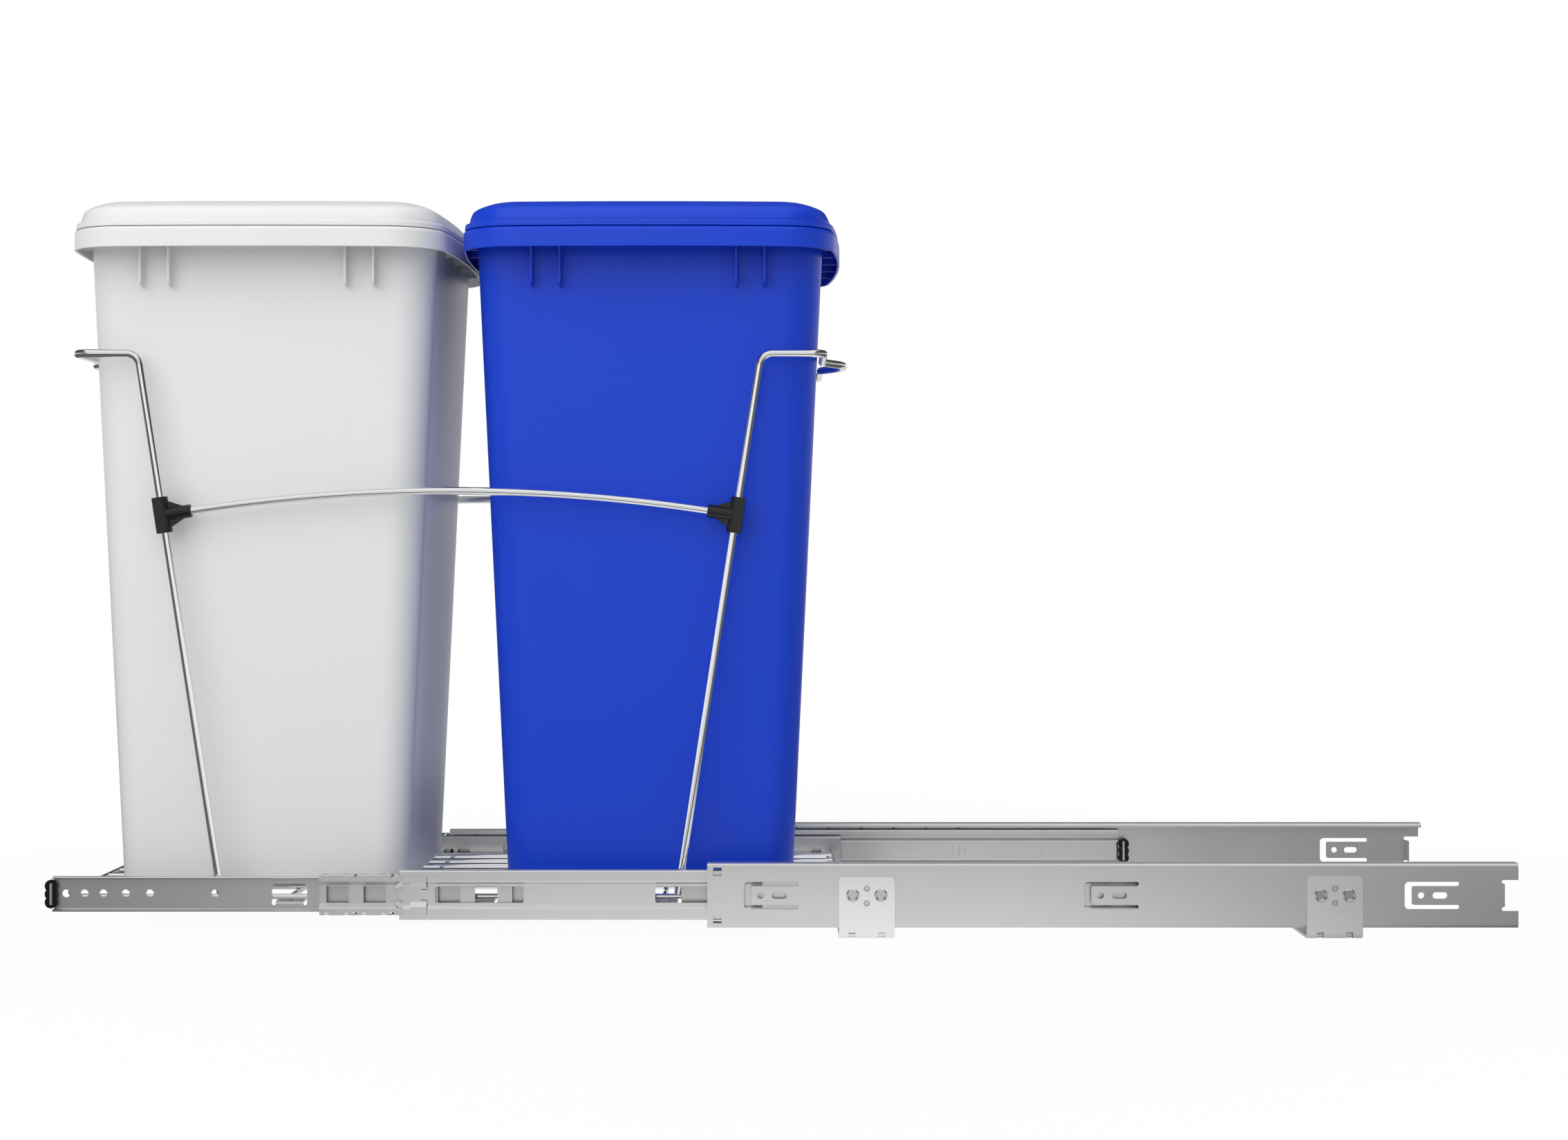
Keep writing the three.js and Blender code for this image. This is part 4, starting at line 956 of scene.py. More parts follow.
@dataclass
class CabinetMember(SlideMember):
    """The outer channel, with lanced tongues, windows at its front and a notch at its rear."""

    front: float = -109.9
    length: float = 558.8
    half: float = 22.4
    lip: float = 3.5
    depth: float = 11.5
    bend: float = 1.56
    window: Pair = (4.1, 5.8)
    window_height: Pair = (13.5, 19.2)
    window_corner: float = 0.4
    dimple: float = 6.6
    dimple_setback: float = 10.0
    dimple_depth: float = 0.45
    tongue_setbacks: tuple[float, ...] = (25.3, 259.6, 480.4)
    tongue_length: float = 37.7
    tongue_height: float = 18.9
    tongue_slot: float = 3.0
    tongue_web: float = 5.0
    tongue_corners: Pair = (3.0, 1.6)
    tongue_rounding: float = 0.98
    tongue_hole: float = 11.4
    tongue_oblong: Pair = (19.2, 29.5)
    hole: float = 4.5
    oblong_corner: float = 2.2
    notch: float = 10.1
    notch_height: float = 21.4
    notch_corner: float = 0.1
    relief: float = 1.4
    relief_rounding: float = 0.95
    chamfer: float = 1.4
    chamfer_clearance: float = 30.0
    stop: Pair = (-0.3, 0.9)
    stop_half: float = 7.95
    stop_corner: float = 0.3
    stop_depth: Pair = (0.6, 9.9)
    rail_places: Pair = (0.0, 322.2)
    pip_heights: Pair = (5.0, -5.1)
    pip: float = 3.4
    pip_sunk: float = 1.2
    pip_edge: float = 0.3
    pip_hollow: float = 2.8
    pip_hollow_depth: float = 0.8

    @property
    def rear(self) -> float:
        """The channel's rear end."""
        return self.front + self.length

    @property
    def through(self) -> Pair:
        """Depths on both sides of the web, for cutters."""
        return (-self.overcut, self.sheet + self.overcut)

    def build(self) -> None:
        """Models both channels."""
        middle, flange = self.depth - self.sheet / 2, self.half - self.sheet / 2
        upper = [(middle, self.half - self.lip), (middle, flange), (self.sheet / 2, flange)]
        mesh = self.channel(upper, self.bend, (self.front, self.rear))
        cuts, pips = Form(), Form()
        self.cut_ends(cuts)
        self.press_pips(cuts, pips)
        tongues = [self.tongue(self.front + setback) for setback in self.tongue_setbacks]
        mesh = Bench.carve(mesh, [cuts, *tongues, self.corner_cuts()])
        low, high = (self.rear - self.notch + offset for offset in self.stop)
        stop = Form().plate((low, high), self.stop_half, self.stop_corner, self.stop_depth, 2)
        parts = [Bench.soften(mesh, self.edge, 1), stop.mesh("stop"), pips.mesh("pips")]
        mesh = Bench.joined(parts)
        self.both(self.place(mesh), "cabinet_channel", ZINC, Body.BASE, "cabinet_member")

    def cut_ends(self, cuts: Form) -> None:
        """Adds the front windows and dimple, and the rear notch with its reliefs.

        Args:
            cuts: The cutters so far.
        """
        x0 = self.front + self.window[0]
        low, high = self.window_height
        for z in ((low, high), (-high, -low)):
            window = oblong((x0, x0 + self.window[1]), z, self.window_corner, 3)
            cuts.prism(window, along_y, self.through)
        dimple = disc((self.front + self.dimple_setback, 0), self.dimple, 32)
        cuts.prism(dimple, along_y, (-self.overcut, self.dimple_depth))
        x, half, relief = self.rear - self.notch, self.notch_height / 2, self.relief
        turn = relief * self.relief_rounding
        upper = [
            (self.rear + self.overcut, half, 0), (x - relief, half, turn),
            (x - relief, half - 2 * relief, turn), (x, half - 2 * relief, self.notch_corner),
        ]
        cuts.prism(rounded(mirrored(upper)), along_y, self.through)

    def press_pips(self, cuts: Form, pips: Form) -> None:
        """Adds each pip's hollow to the cutters and its raised face to the pips.

        Args:
            cuts: The cutters so far.
            pips: The raised faces so far.
        """
        half, sunk, edge = self.pip / 2, self.pip_sunk, self.pip_edge
        profile = [(0, -sunk), (half - edge, -sunk), (half, edge - sunk), (half, edge), (0, edge)]
        hollow = (self.sheet - self.pip_hollow_depth, self.sheet + self.overcut)
        for rail in self.rail_places:
            for height in self.pip_heights:
                cuts.prism(disc((rail, height), self.pip_hollow, 20), along_y, hollow)
                pips.turned(profile, along_y, (rail, height))

    def tongue(self, start: float) -> Form:
        """The cutter of one tongue: a U-shaped slot, a hole and an oblong slot.

        Args:
            start: Where its slot starts.

        Returns:
            The cutter.
        """
        outer, tip = self.tongue_height / 2, self.tongue_slot / 2
        inner, end = outer - self.tongue_slot, start + self.tongue_length
        wide, tight = self.tongue_corners
        upper = [
            (start, outer, wide), (end, outer, tip), (end, inner, tip),
            (start + self.tongue_web, inner, tight),
        ]
        corners = [(x, z, radius * self.tongue_rounding) for x, z, radius in mirrored(upper)]
        form = Form().prism(rounded(corners), along_y, self.through)
        form.prism(disc((start + self.tongue_hole, 0), self.hole), along_y, self.through)
        low, high = (start + offset for offset in self.tongue_oblong)
        return form.plate((low, high), self.hole / 2, self.oblong_corner, self.through)

    def corner_cuts(self) -> Form:
        """The cutters that take off the flanges' rear corners.

        Returns:
            The cutters.
        """
        form = Form()
        x, over = self.rear, self.overcut
        for sign in (-1, 1):
            corner = [
                (x + over, sign * self.chamfer_clearance),
                (x + over, sign * (self.half - self.chamfer)),
                (x - self.chamfer, sign * (self.half + over)),
            ]
            form.prism(corner, along_y, (self.sheet, self.depth + 2 * over))
        return form


@dataclass
class IntermediateMember(SlideMember):
    """The middle channel: a recessed web, a nose and two lanced catches at its front."""

    front: float = -322.45
    length: float = 531.3
    half: float = 17.3
    lip: float = 4.0
    depth: float = 10.3
    face: float = 2.5
    recess: float = 2.0
    recess_height: float = 17.0
    bend: float = 1.08
    edge: float = 0.08
    clearance: float = 0.5
    windows: tuple[Pair, ...] = ((24.6, 60.9), (176.6, 60.9))
    window_half: float = 5.6
    window_corner: float = 1.2
    pockets: tuple[Pair, ...] = ((358.7, 40.8), (428.8, 41.5))
    pocket_half: float = 5.4
    pocket_corner: float = 1.6
    pocket_depth: float = 0.4
    scores: Pair = (82.0, 86.4)
    score: float = 0.8
    score_half: float = 3.4
    score_corner: float = 0.3
    score_depth: float = 0.5
    mouth: Pair = (-3.0, 2.1)
    mouth_half: float = 12.7
    mouth_corner: float = 0.6
    catch: Pair = (7.6, 18.9)
    catch_section: tuple[Pair, ...] = (
        (2.25, 12.6), (2.25, 8.2), (4.4, 4.9), (4.8, 4.9), (4.8, 7.5), (2.8, 9.8), (2.8, 12.6),
    )
    slit: Pair = (0.0, 0.55)
    slit_heights: Pair = (4.3, 12.7)
    foot_slit: Pair = (-4.0, 0.3)
    foot_slit_heights: Pair = (3.45, 3.95)
    nose_setback: float = 1.8
    nose_bands: tuple[Point, ...] = ((0.0, 3.15, 0.0), (0.0, 5.35, 1.1), (3.95, 4.75, -0.3))
    nose_overlap: float = 0.32
    wing: tuple[Pair, ...] = (
        (2.2, 9.2), (2.2, 5.6), (0.6, 5.2), (-0.9, 4.7),
        (-2.9, 4.7), (-2.6, 6.1), (-1.7, 7.5), (0.0, 8.7),
    )
    wing_middle: float = 6.4
    wing_slope: float = 0.2
    tab: Pair = (-1.1, 4.8)
    tab_depth: float = 8.8

    @property
    def web(self) -> float:
        """The depth of the recessed web's outer face."""
        return self.face + self.recess

    def build(self) -> None:
        """Models both channels with their catches, noses and tabs."""
        sheet, web = self.sheet, self.web
        middle, flange = self.depth - sheet / 2, self.half - sheet / 2
        top, foot = (self.recess_height + self.recess) / 2, (self.recess_height - self.recess) / 2
        upper = [
            (middle, self.half - self.lip), (middle, flange), (self.face + sheet / 2, flange),
            (self.face + sheet / 2, top), (web + sheet / 2, foot),
        ]
        mesh = self.channel(upper, self.bend, (self.front, self.front + self.length))
        through = (self.face - self.clearance, web + sheet + self.clearance)
        mesh = Bench.soften(Bench.carve(mesh, [self.openings(through)]), self.edge, 1)
        slits = self.slit_form(through)
        mesh = Bench.carve(mesh, [slits])
        catches = Bench.carve(self.catch_form().mesh("catches"), [slits])
        nose, tab = self.nose_form().mesh("nose"), self.tab_form().mesh("tab")
        mesh = self.place(Bench.joined([mesh, catches, nose, tab]))
        self.both(mesh, "middle_channel", ZINC, Body.INTERMEDIATE, "intermediate_member")

    def openings(self, through: Pair) -> Form:
        """The cutters of the windows, the pockets, the scored lines and the open front.

        Args:
            through: Depths on both sides of the web.

        Returns:
            The cutters.
        """
        inner = self.web + self.sheet
        form = Form()
        for setback, length in self.windows:
            x0 = self.front + setback
            form.plate((x0, x0 + length), self.window_half, self.window_corner, through)
        sunk = (inner - self.pocket_depth, inner + self.overcut)
        for setback, length in self.pockets:
            x0 = self.front + setback
            form.plate((x0, x0 + length), self.pocket_half, self.pocket_corner, sunk)
        sunk = (inner - self.score_depth, inner + self.overcut)
        for x0 in self.scores:
            form.plate((x0, x0 + self.score), self.score_half, self.score_corner, sunk, 2)
        low, high = (self.front + offset for offset in self.mouth)
        return form.plate((low, high), self.mouth_half, self.mouth_corner, through, 3)

    def slit_form(self, through: Pair) -> Form:
        """The cutters that part the catches from the web.

        Args:
            through: Depths on both sides of the web.

        Returns:
            The cutters.
        """
        end = self.front + self.catch[1]
        form = Form()
        for edge in (-1, 1):
            for span, heights in (
                (self.slit, self.slit_heights), (self.foot_slit, self.foot_slit_heights),
            ):
                z = ordered(edge * heights[0], edge * heights[1])
                form.box((end + span[0], end + span[1]), through, z)
        return form

    def catch_form(self) -> Form:
        """The two catches that stand out of the web."""
        form = Form()
        span = (self.front + self.catch[0], self.front + self.catch[1])
        for edge in (-1, 1):
            outline = [(depth, edge * height) for depth, height in self.catch_section]
            form.prism(outline, along_x, span)
        return form

    def nose_form(self) -> Form:
        """The half-round nose with its raised rim, and a bent crescent above and below it.

        Returns:
            The form of all three.
        """
        form = Form()
        for inner, outer, sunk in self.nose_bands:
            depth = (self.web + sunk, self.web + self.sheet)
            form.prism(self.half_band(inner, outer), along_y, depth)
        span = (self.web - self.sheet / 2, self.web + self.sheet / 2)
        for edge in (-1, 1):
            outline = [(self.front + u, edge * v) for u, v in self.wing]
            root = edge * self.wing_middle
            form.prism(outline, lambda u, v, w: (u, w + (v - root) * self.wing_slope, v), span)
        return form

    def half_band(self, inner: float, outer: float) -> list[Pair]:
        """The front half of a ring, or of a disc if the inner radius is nothing."""
        x = self.front + self.nose_setback
        top, bottom, steps = RIGHT_ANGLE, 3 * RIGHT_ANGLE, 24
        rim = arc((x, 0), outer, top, bottom, steps)
        if inner:
            return rim + arc((x, 0), inner, bottom, top, steps)
        return [*rim, (x + self.nose_overlap, -outer), (x + self.nose_overlap, outer)]

    def tab_form(self) -> Form:
        """The tab behind the web that holds the rear buffer."""
        rear, sheet = self.front + self.length, self.sheet
        low, high = rear + self.tab[0], rear + self.tab[1]
        z = (-self.tab_half, self.tab_half)
        form = Form().box((low, high), (self.web, self.web + sheet), z)
        return form.box((high - sheet, high), (self.web + sheet / 2, self.tab_depth), z)


@dataclass
class DrawerMember(SlideMember):
    """The inner channel, with screw holes and the windows whose tabs carry the tray."""

    front: float = -563.0
    length: float = 551.0
    depth: float = 12.7
    sheet: float = 1.0
    section: tuple[Pair, ...] = ((7.0, 11.7), (8.7, 10.7), (10.3, 11.7), (12.2, 11.7))
    bend: float = 1.3
    holes: tuple[float, ...] = (8.4, 21.2, 34.2, 49.7, 66.5, 111.7)
    hole: float = 5.5
    ovals: tuple[Pair, ...] = ((240, 8), (252, 10), (531.6, 8))
    oval_half: float = 2.25
    oval_corner: float = 2.2
    shelves: tuple[float, ...] = (163.2, 295.5, 422.7)
    shelf: float = 19.2
    shelf_middle: float = -5.8
    shelf_reach: float = 24.2
    shelf_bend: float = 1.6
    shelf_edge: float = 0.15
    window: float = 24.5
    window_top: float = 6.8
    window_corner: float = 3.2
    relief_foot: float = -8.2
    relief_corners: Pair = (1.3, 0.75)
    tab: Pair = (-4.4, 0.8)
    bar: Pair = (-1.9, -0.1)
    bar_depth: float = 7.0
    bar_overlap: float = 0.6

    @property
    def shelf_root(self) -> float:
        """The height at which a shelf's bend starts."""
        return self.shelf_middle - self.shelf_bend

    def build(self) -> None:
        """Models both channels."""
        web = self.depth - self.sheet
        mesh = self.channel(self.section, self.bend, (self.front, self.front + self.length))
        through = (web - self.overcut, self.depth + self.overcut)
        cuts, tabs = Form(), Form()
        for setback in self.holes:
            cuts.prism(disc((self.front + setback, 0), self.hole), along_y, through)
        for setback, length in self.ovals:
            x0 = self.front + setback - length / 2
            cuts.plate((x0, x0 + length), self.oval_half, self.oval_corner, through)
        middle, level = web + self.sheet / 2, self.shelf_middle
        line = [(middle, self.shelf_root), (middle, level), (self.shelf_reach, level)]
        strip = fold(line, self.sheet, self.shelf_bend)
        for setback in self.shelves:
            x, half = self.front + setback, self.shelf / 2
            cuts.prism(self.window_outline(x), along_y, through)
            tabs.prism(strip, along_x, (x - half, x + half))
        mesh = Bench.soften(Bench.carve(mesh, [cuts]), self.edge, 1)
        for span, depth in ((self.tab, (web, self.depth)),
                            (self.bar, (self.bar_depth, web + self.bar_overlap))):
            x = (self.front + span[0], self.front + span[1])
            tabs.box(x, depth, (-self.tab_half, self.tab_half))
        mesh = Bench.joined([mesh, Bench.soften(tabs.mesh("tabs"), self.shelf_edge, 2)])
        # The drawer channel takes the zinc strip darkened as painted shade.
        self.both(self.place(mesh), "drawer_channel", SHADE_DARKENED_ZINC, Body.CARRIAGE, "drawer_member")

    def window_outline(self, x: float) -> list[Pair]:
        """A shelf's window, with a relief on each side of the shelf's root.

        Args:
            x: The shelf's middle.

        Returns:
            The closed outline.
        """
        half, tab, foot = self.window / 2, self.shelf / 2, self.relief_foot
        outer, inner = self.relief_corners
        return rounded([
            (x - half, self.window_top, self.window_corner),
            (x + half, self.window_top, self.window_corner),
            (x + half, foot, outer), (x + tab, foot, inner), (x + tab, self.shelf_root, 0),
            (x - tab, self.shelf_root, 0), (x - tab, foot, inner), (x - half, foot, outer),
        ])


@dataclass
class BallCage(SlideMember):
    """A pressed cage with windows, edge notches and its two rows of balls."""

    name: str = "inner_ball_cage"
    body: Body = Body.INNER_CAGE
    front: float = -378.2
    length: float = 199.4
    upper: tuple[Pair, ...] = ((8.7, 13.95), (4.0, 13.95), (4.0, 9.5), (7.0, 6.55))
    sheet: float = 0.5
    bend: float = 0.7
    web: float = 6.75
    ball: float = 2.1
    ball_level: float = 13.45
    ball_depth: float = 7.5
    pitch: float = 25.7
    first_ball: float = 25.0
    seat_slack: float = 0.7
    seat_drop: float = 0.3
    seat_reach: float = 1.9
    notch: float = 3.9
    notch_reach: float = 6.05
    notch_depth: float = 7.6
    notch_rise: float = 0.2
    window: float = 15.4
    window_shift: float = 0.4
    window_half: float = 5.8
    window_corner: float = 0.6
    clearance: float = 0.5

    def build(self) -> None:
        """Models both cages and their balls."""
        count = int((self.length - self.first_ball - self.ball) / self.pitch) + 1
        mesh = self.channel(self.upper, self.bend, (self.front, self.front + self.length))
        mesh = Bench.carve(mesh, [self.openings(count)])
        self.both(self.place(mesh), self.name, CAGE_STEEL, self.body, self.name)
        pair = Form()
        for edge in (-1, 1):
            centre = (self.front + self.first_ball, self.ball_depth, edge * self.ball_level)
            pair.ball(centre, self.ball)
        mesh = self.place(pair.mesh("balls"))
        balls = self.rows.repeat(mesh, count, (self.pitch, 0, 0), BALL_STEEL)
        self.both(balls, f"{self.name}_balls", BALL_STEEL, self.body)

    def openings(self, count: int) -> Form:
        """The cutters of the windows, the edge notches and the balls' seats.

        Args:
            count: Balls to a row.

        Returns:
            The cutters.
        """
        low, high = self.front + self.notch, self.front + self.length - self.notch
        edge_level = max(height for _, height in self.upper) + self.sheet / 2
        span = (self.web - self.clearance, self.web + self.overcut)
        form = Form()
        for k in range(-1, count):
            ball_x = self.front + self.first_ball + k * self.pitch
            if k < count - 1:
                x, half = ball_x + self.pitch / 2 + self.window_shift, self.window / 2
                form.plate((x - half, x + half), self.window_half, self.window_corner, span, 3)
            for x in (ball_x - self.notch_reach, ball_x + self.notch_reach):
                if low < x < high:
                    for edge in (-1, 1):
                        notch = disc((x, edge * (edge_level + self.notch_rise)), self.notch)
                        form.prism(notch, along_y, (0, self.notch_depth))
            for edge in (-1, 1):
                level = edge * (self.ball_level - self.seat_drop)
                seat = disc((ball_x, level), self.ball + self.seat_slack)
                form.prism(seat, along_y, (0, self.ball_depth + self.seat_reach))
        return form


@dataclass
class Buffer(SlideMember):
    """A rubber buffer of three lobes, pressed over a sheet tab."""

    name: str = "front_buffer"
    body: Body = Body.CARRIAGE
    x: float = -564.1
    depth: Pair = (7.0, 11.2)
    lobe: float = 8.4
    pitch: float = 5.65
    slot_half: Pair = (1.1, 7.75)
    edge: float = 0.35

    def build(self) -> None:
        """Models both buffers."""
        form = Form().prism(self.outline(), along_y, self.depth)
        (length, height), (low, high) = self.slot_half, self.depth
        depth = (low - self.overcut, high + self.overcut)
        slot = Form().box((self.x - length, self.x + length), depth, (-height, height))
        mesh = Bench.soften(Bench.carve(form.mesh("buffer"), [slot]), self.edge, 3)
        self.both(self.place(mesh), self.name, RUBBER, self.body, self.name)

    def outline(self) -> list[Pair]:
        """Three overlapping circles as one closed outline of (x, height) points.

        Returns:
            The outline.
        """
        radius = self.lobe / 2
        meet = math.asin(self.pitch / 2 / radius)
        lobes = ((-1, -RIGHT_ANGLE, meet), (0, -meet, meet), (1, -meet, RIGHT_ANGLE))
        right: list[Pair] = []
        for place, low, high in lobes:
            right += arc((self.x, place * self.pitch), radius, low, high, 12)
        left = [(2 * self.x - x, height) for x, height in reversed(right)]
        return right + left[1:-1]


# ---- Cross rails ----


@dataclass
class CrossRail:
    """A floor strip with an ear bent up at each end, and the rivets that hold the channels."""

    rows: RowRecipe
    width: float = 38.5
    places: Pair = (0.0, 322.2)
    sheet: float = 1.6
    bend: float = 3.3
    outer: float = 148.9
    ear_height: float = 42.5
    corner: float = 2.8
    overcut: float = 1.0
    edge: float = 0.12
    pilot: float = 4.3
    pilot_levels: Pair = (34.5, 24.4)
    dimple_level: float = 14.3
    dimple_depth: float = 0.5
    floor_hole: float = 4.5
    floor_holes: tuple[float, ...] = (-112.5, -37.5, 37.5, 112.5)
    floor_span: Pair = (-1.0, 3.0)
    gusset: float = 4.7
    gusset_pitch: float = 20.3
    gusset_reach: float = 4.9
    gusset_skin: float = 0.8
    rivet_level: float = 29.7
    rivet_pitch: float = 19.4
    rivet_hole: float = 7.4
    rivet_base: float = 147.0
    rivet_profile: tuple[Pair, ...] = (
        (0, 0.75), (2.7, 0.75), (3.05, 1.0), (3.15, 1.9), (3.35, 2.45), (3.8, 2.72), (4.25, 2.5),
        (4.55, 2.15), (4.6, 2.05), (3.4, 1.98), (3.4, 0.32), (2.4, 0.3), (2.4, -1.15), (0, -1.15),
    )

    @property
    def reach(self) -> Pair:
        """Past both ears, for cutters."""
        return (-self.outer - self.overcut, self.outer + self.overcut)

    def build(self) -> None:
        """Models both rails and all rivets."""
        mesh = self.strip()
        for end, place in zip(End, self.places):
            moved = mesh.copy()
            moved.transform(Matrix.Translation((place * MM, 0, 0)))
            node = f"{end.value}_cross_rail"
            Bench.publish(moved, f"{node}_strip", BRIGHT_ZINC, Body.BASE.value, [node])
        self.rivets()

    def strip(self) -> Mesh:
        """The folded strip with its holes and pressed gussets.

        Returns:
            The mesh of one rail.
        """
        middle, floor, top = self.outer - self.sheet / 2, self.sheet / 2, self.ear_height
        line = [(-middle, top), (-middle, floor), (middle, floor), (middle, top)]
        outline = fold(line, self.sheet, self.bend - self.sheet / 2, 8)
        mesh = Form().prism(outline, along_x, (-self.width / 2, self.width / 2)).mesh("strip")
        dents, ribs = self.gussets()
        mesh = Bench.carve(mesh, [self.corner_cuts(), self.holes(), dents])
        ribs_mesh = Bench.carve(ribs.mesh("ribs"), [dents])
        return Bench.joined([Bench.soften(mesh, self.edge, 2), ribs_mesh])

    def corner_cuts(self) -> Form:
        """The cutters that round the ears' upper corners.

        Returns:
            The cutters.
        """
        outer, top = self.width / 2 + self.overcut, self.ear_height + self.overcut
        x, z = self.width / 2 - self.corner, self.ear_height - self.corner
        quarter = arc((x, z), self.corner, 0, RIGHT_ANGLE, 8)
        form = Form()
        for side in (-1, 1):
            spots = [(outer, top), (outer, z), *quarter, (x, top)]
            form.prism([(side * u, v) for u, v in spots], along_y, self.reach)
        return form

    def holes(self) -> Form:
        """The cutters of the rivets' holes, the pilot holes, the dimples and the screw holes.

        Returns:
            The cutters.
        """
        form = Form()
        for x in (-self.rivet_pitch / 2, self.rivet_pitch / 2):
            form.prism(disc((x, self.rivet_level), self.rivet_hole, 32), along_y, self.reach)
        for level in self.pilot_levels:
            form.prism(disc((0, level), self.pilot), along_y, self.reach)
        outer, inner = self.outer + self.overcut, self.outer - self.dimple_depth
        for side in (-1, 1):
            span = ordered(side * outer, side * inner)
            form.prism(disc((0, self.dimple_level), self.pilot), along_y, span)
        for y in self.floor_holes:
            form.prism(disc((0, y), self.floor_hole), along_z, self.floor_span)
        return form

    def gussets(self) -> tuple[Form, Form]:
        """The dents pressed into the outer bends, and the ribs that they raise inside.

        Returns:
            The cutters of the dents, and the ribs.
        """
        dents, ribs = Form(), Form()
        over, reach, floor = self.overcut, self.gusset_reach, self.sheet / 2
        half, wide = self.gusset / 2, self.gusset / 2 + floor
        depth, skin = reach + self.sheet, self.gusset_skin
        for side in (-1, 1):
            edge, far = side * (self.outer + over), side * (self.outer - reach - over)
            dent = [(edge, -over), (edge, reach + over), (far, -over)]
            inner = side * (self.outer - floor)
            rib = [(inner, floor), (inner, depth + skin)]
            rib.append((side * (self.outer - depth - skin), floor))
            for x in (-self.gusset_pitch / 2, self.gusset_pitch / 2):
                dents.prism(dent, along_x, (x - half, x + half))
                ribs.prism(rib, along_x, (x - wide, x + wide))
        return dents, ribs

    def rivets(self) -> None:
        """Eight rivets as rows along X, each with a rolled rim and a sunk middle."""
        span = self.places[1] - self.places[0]
        spot = (-self.rivet_pitch / 2, self.rivet_level)
        parts = []
        for side in Side:
            profile = [(r, side.sign * (self.rivet_base + out)) for r, out in self.rivet_profile]
            mesh = Form().turned(profile, along_y, spot, 32).mesh("rivet")
            pair = self.rows.repeat(mesh, 2, (self.rivet_pitch, 0, 0), NICKEL)
            parts.append(self.rows.repeat(pair, 2, (span, 0, 0), NICKEL))
        names = [
            f"{end.value}_rivet_{order}_{side.value}"
            for end in End for order in "ab" for side in Side
        ]
        Bench.publish(Bench.joined(parts), "rail_rivets", NICKEL, Body.BASE.value, names)


# ---- Cradle ----


def bend_path(corners: Sequence[Point], radii: Sequence[float], steps: int = 10) -> list[Point]:
    """Rounds each inner corner of a path.

    Args:
        corners: The path's corners.
        radii: The bend radius at each inner corner.
        steps: Steps to a bend.

    Returns:
        The path's points.
    """
    spots = [Vector(c) for c in corners]
    path = [spots[0]]
    for before, here, after, radius in zip(spots, spots[1:], spots[2:], radii):
        arriving, leaving = (here - before).normalized(), (after - here).normalized()
        turn = arriving.angle(leaving)
        run = radius * math.tan(turn / 2)
        centre = here + (leaving - arriving).normalized() * radius / math.cos(turn / 2)
        start, end = here - arriving * run - centre, here + leaving * run - centre
        for k in range(steps + 1):
            a, b = math.sin(turn * (1 - k / steps)), math.sin(turn * k / steps)
            path.append(centre + (start * a + end * b) / math.sin(turn))
    path.append(spots[-1])
    return [tuple(p) for p in path]


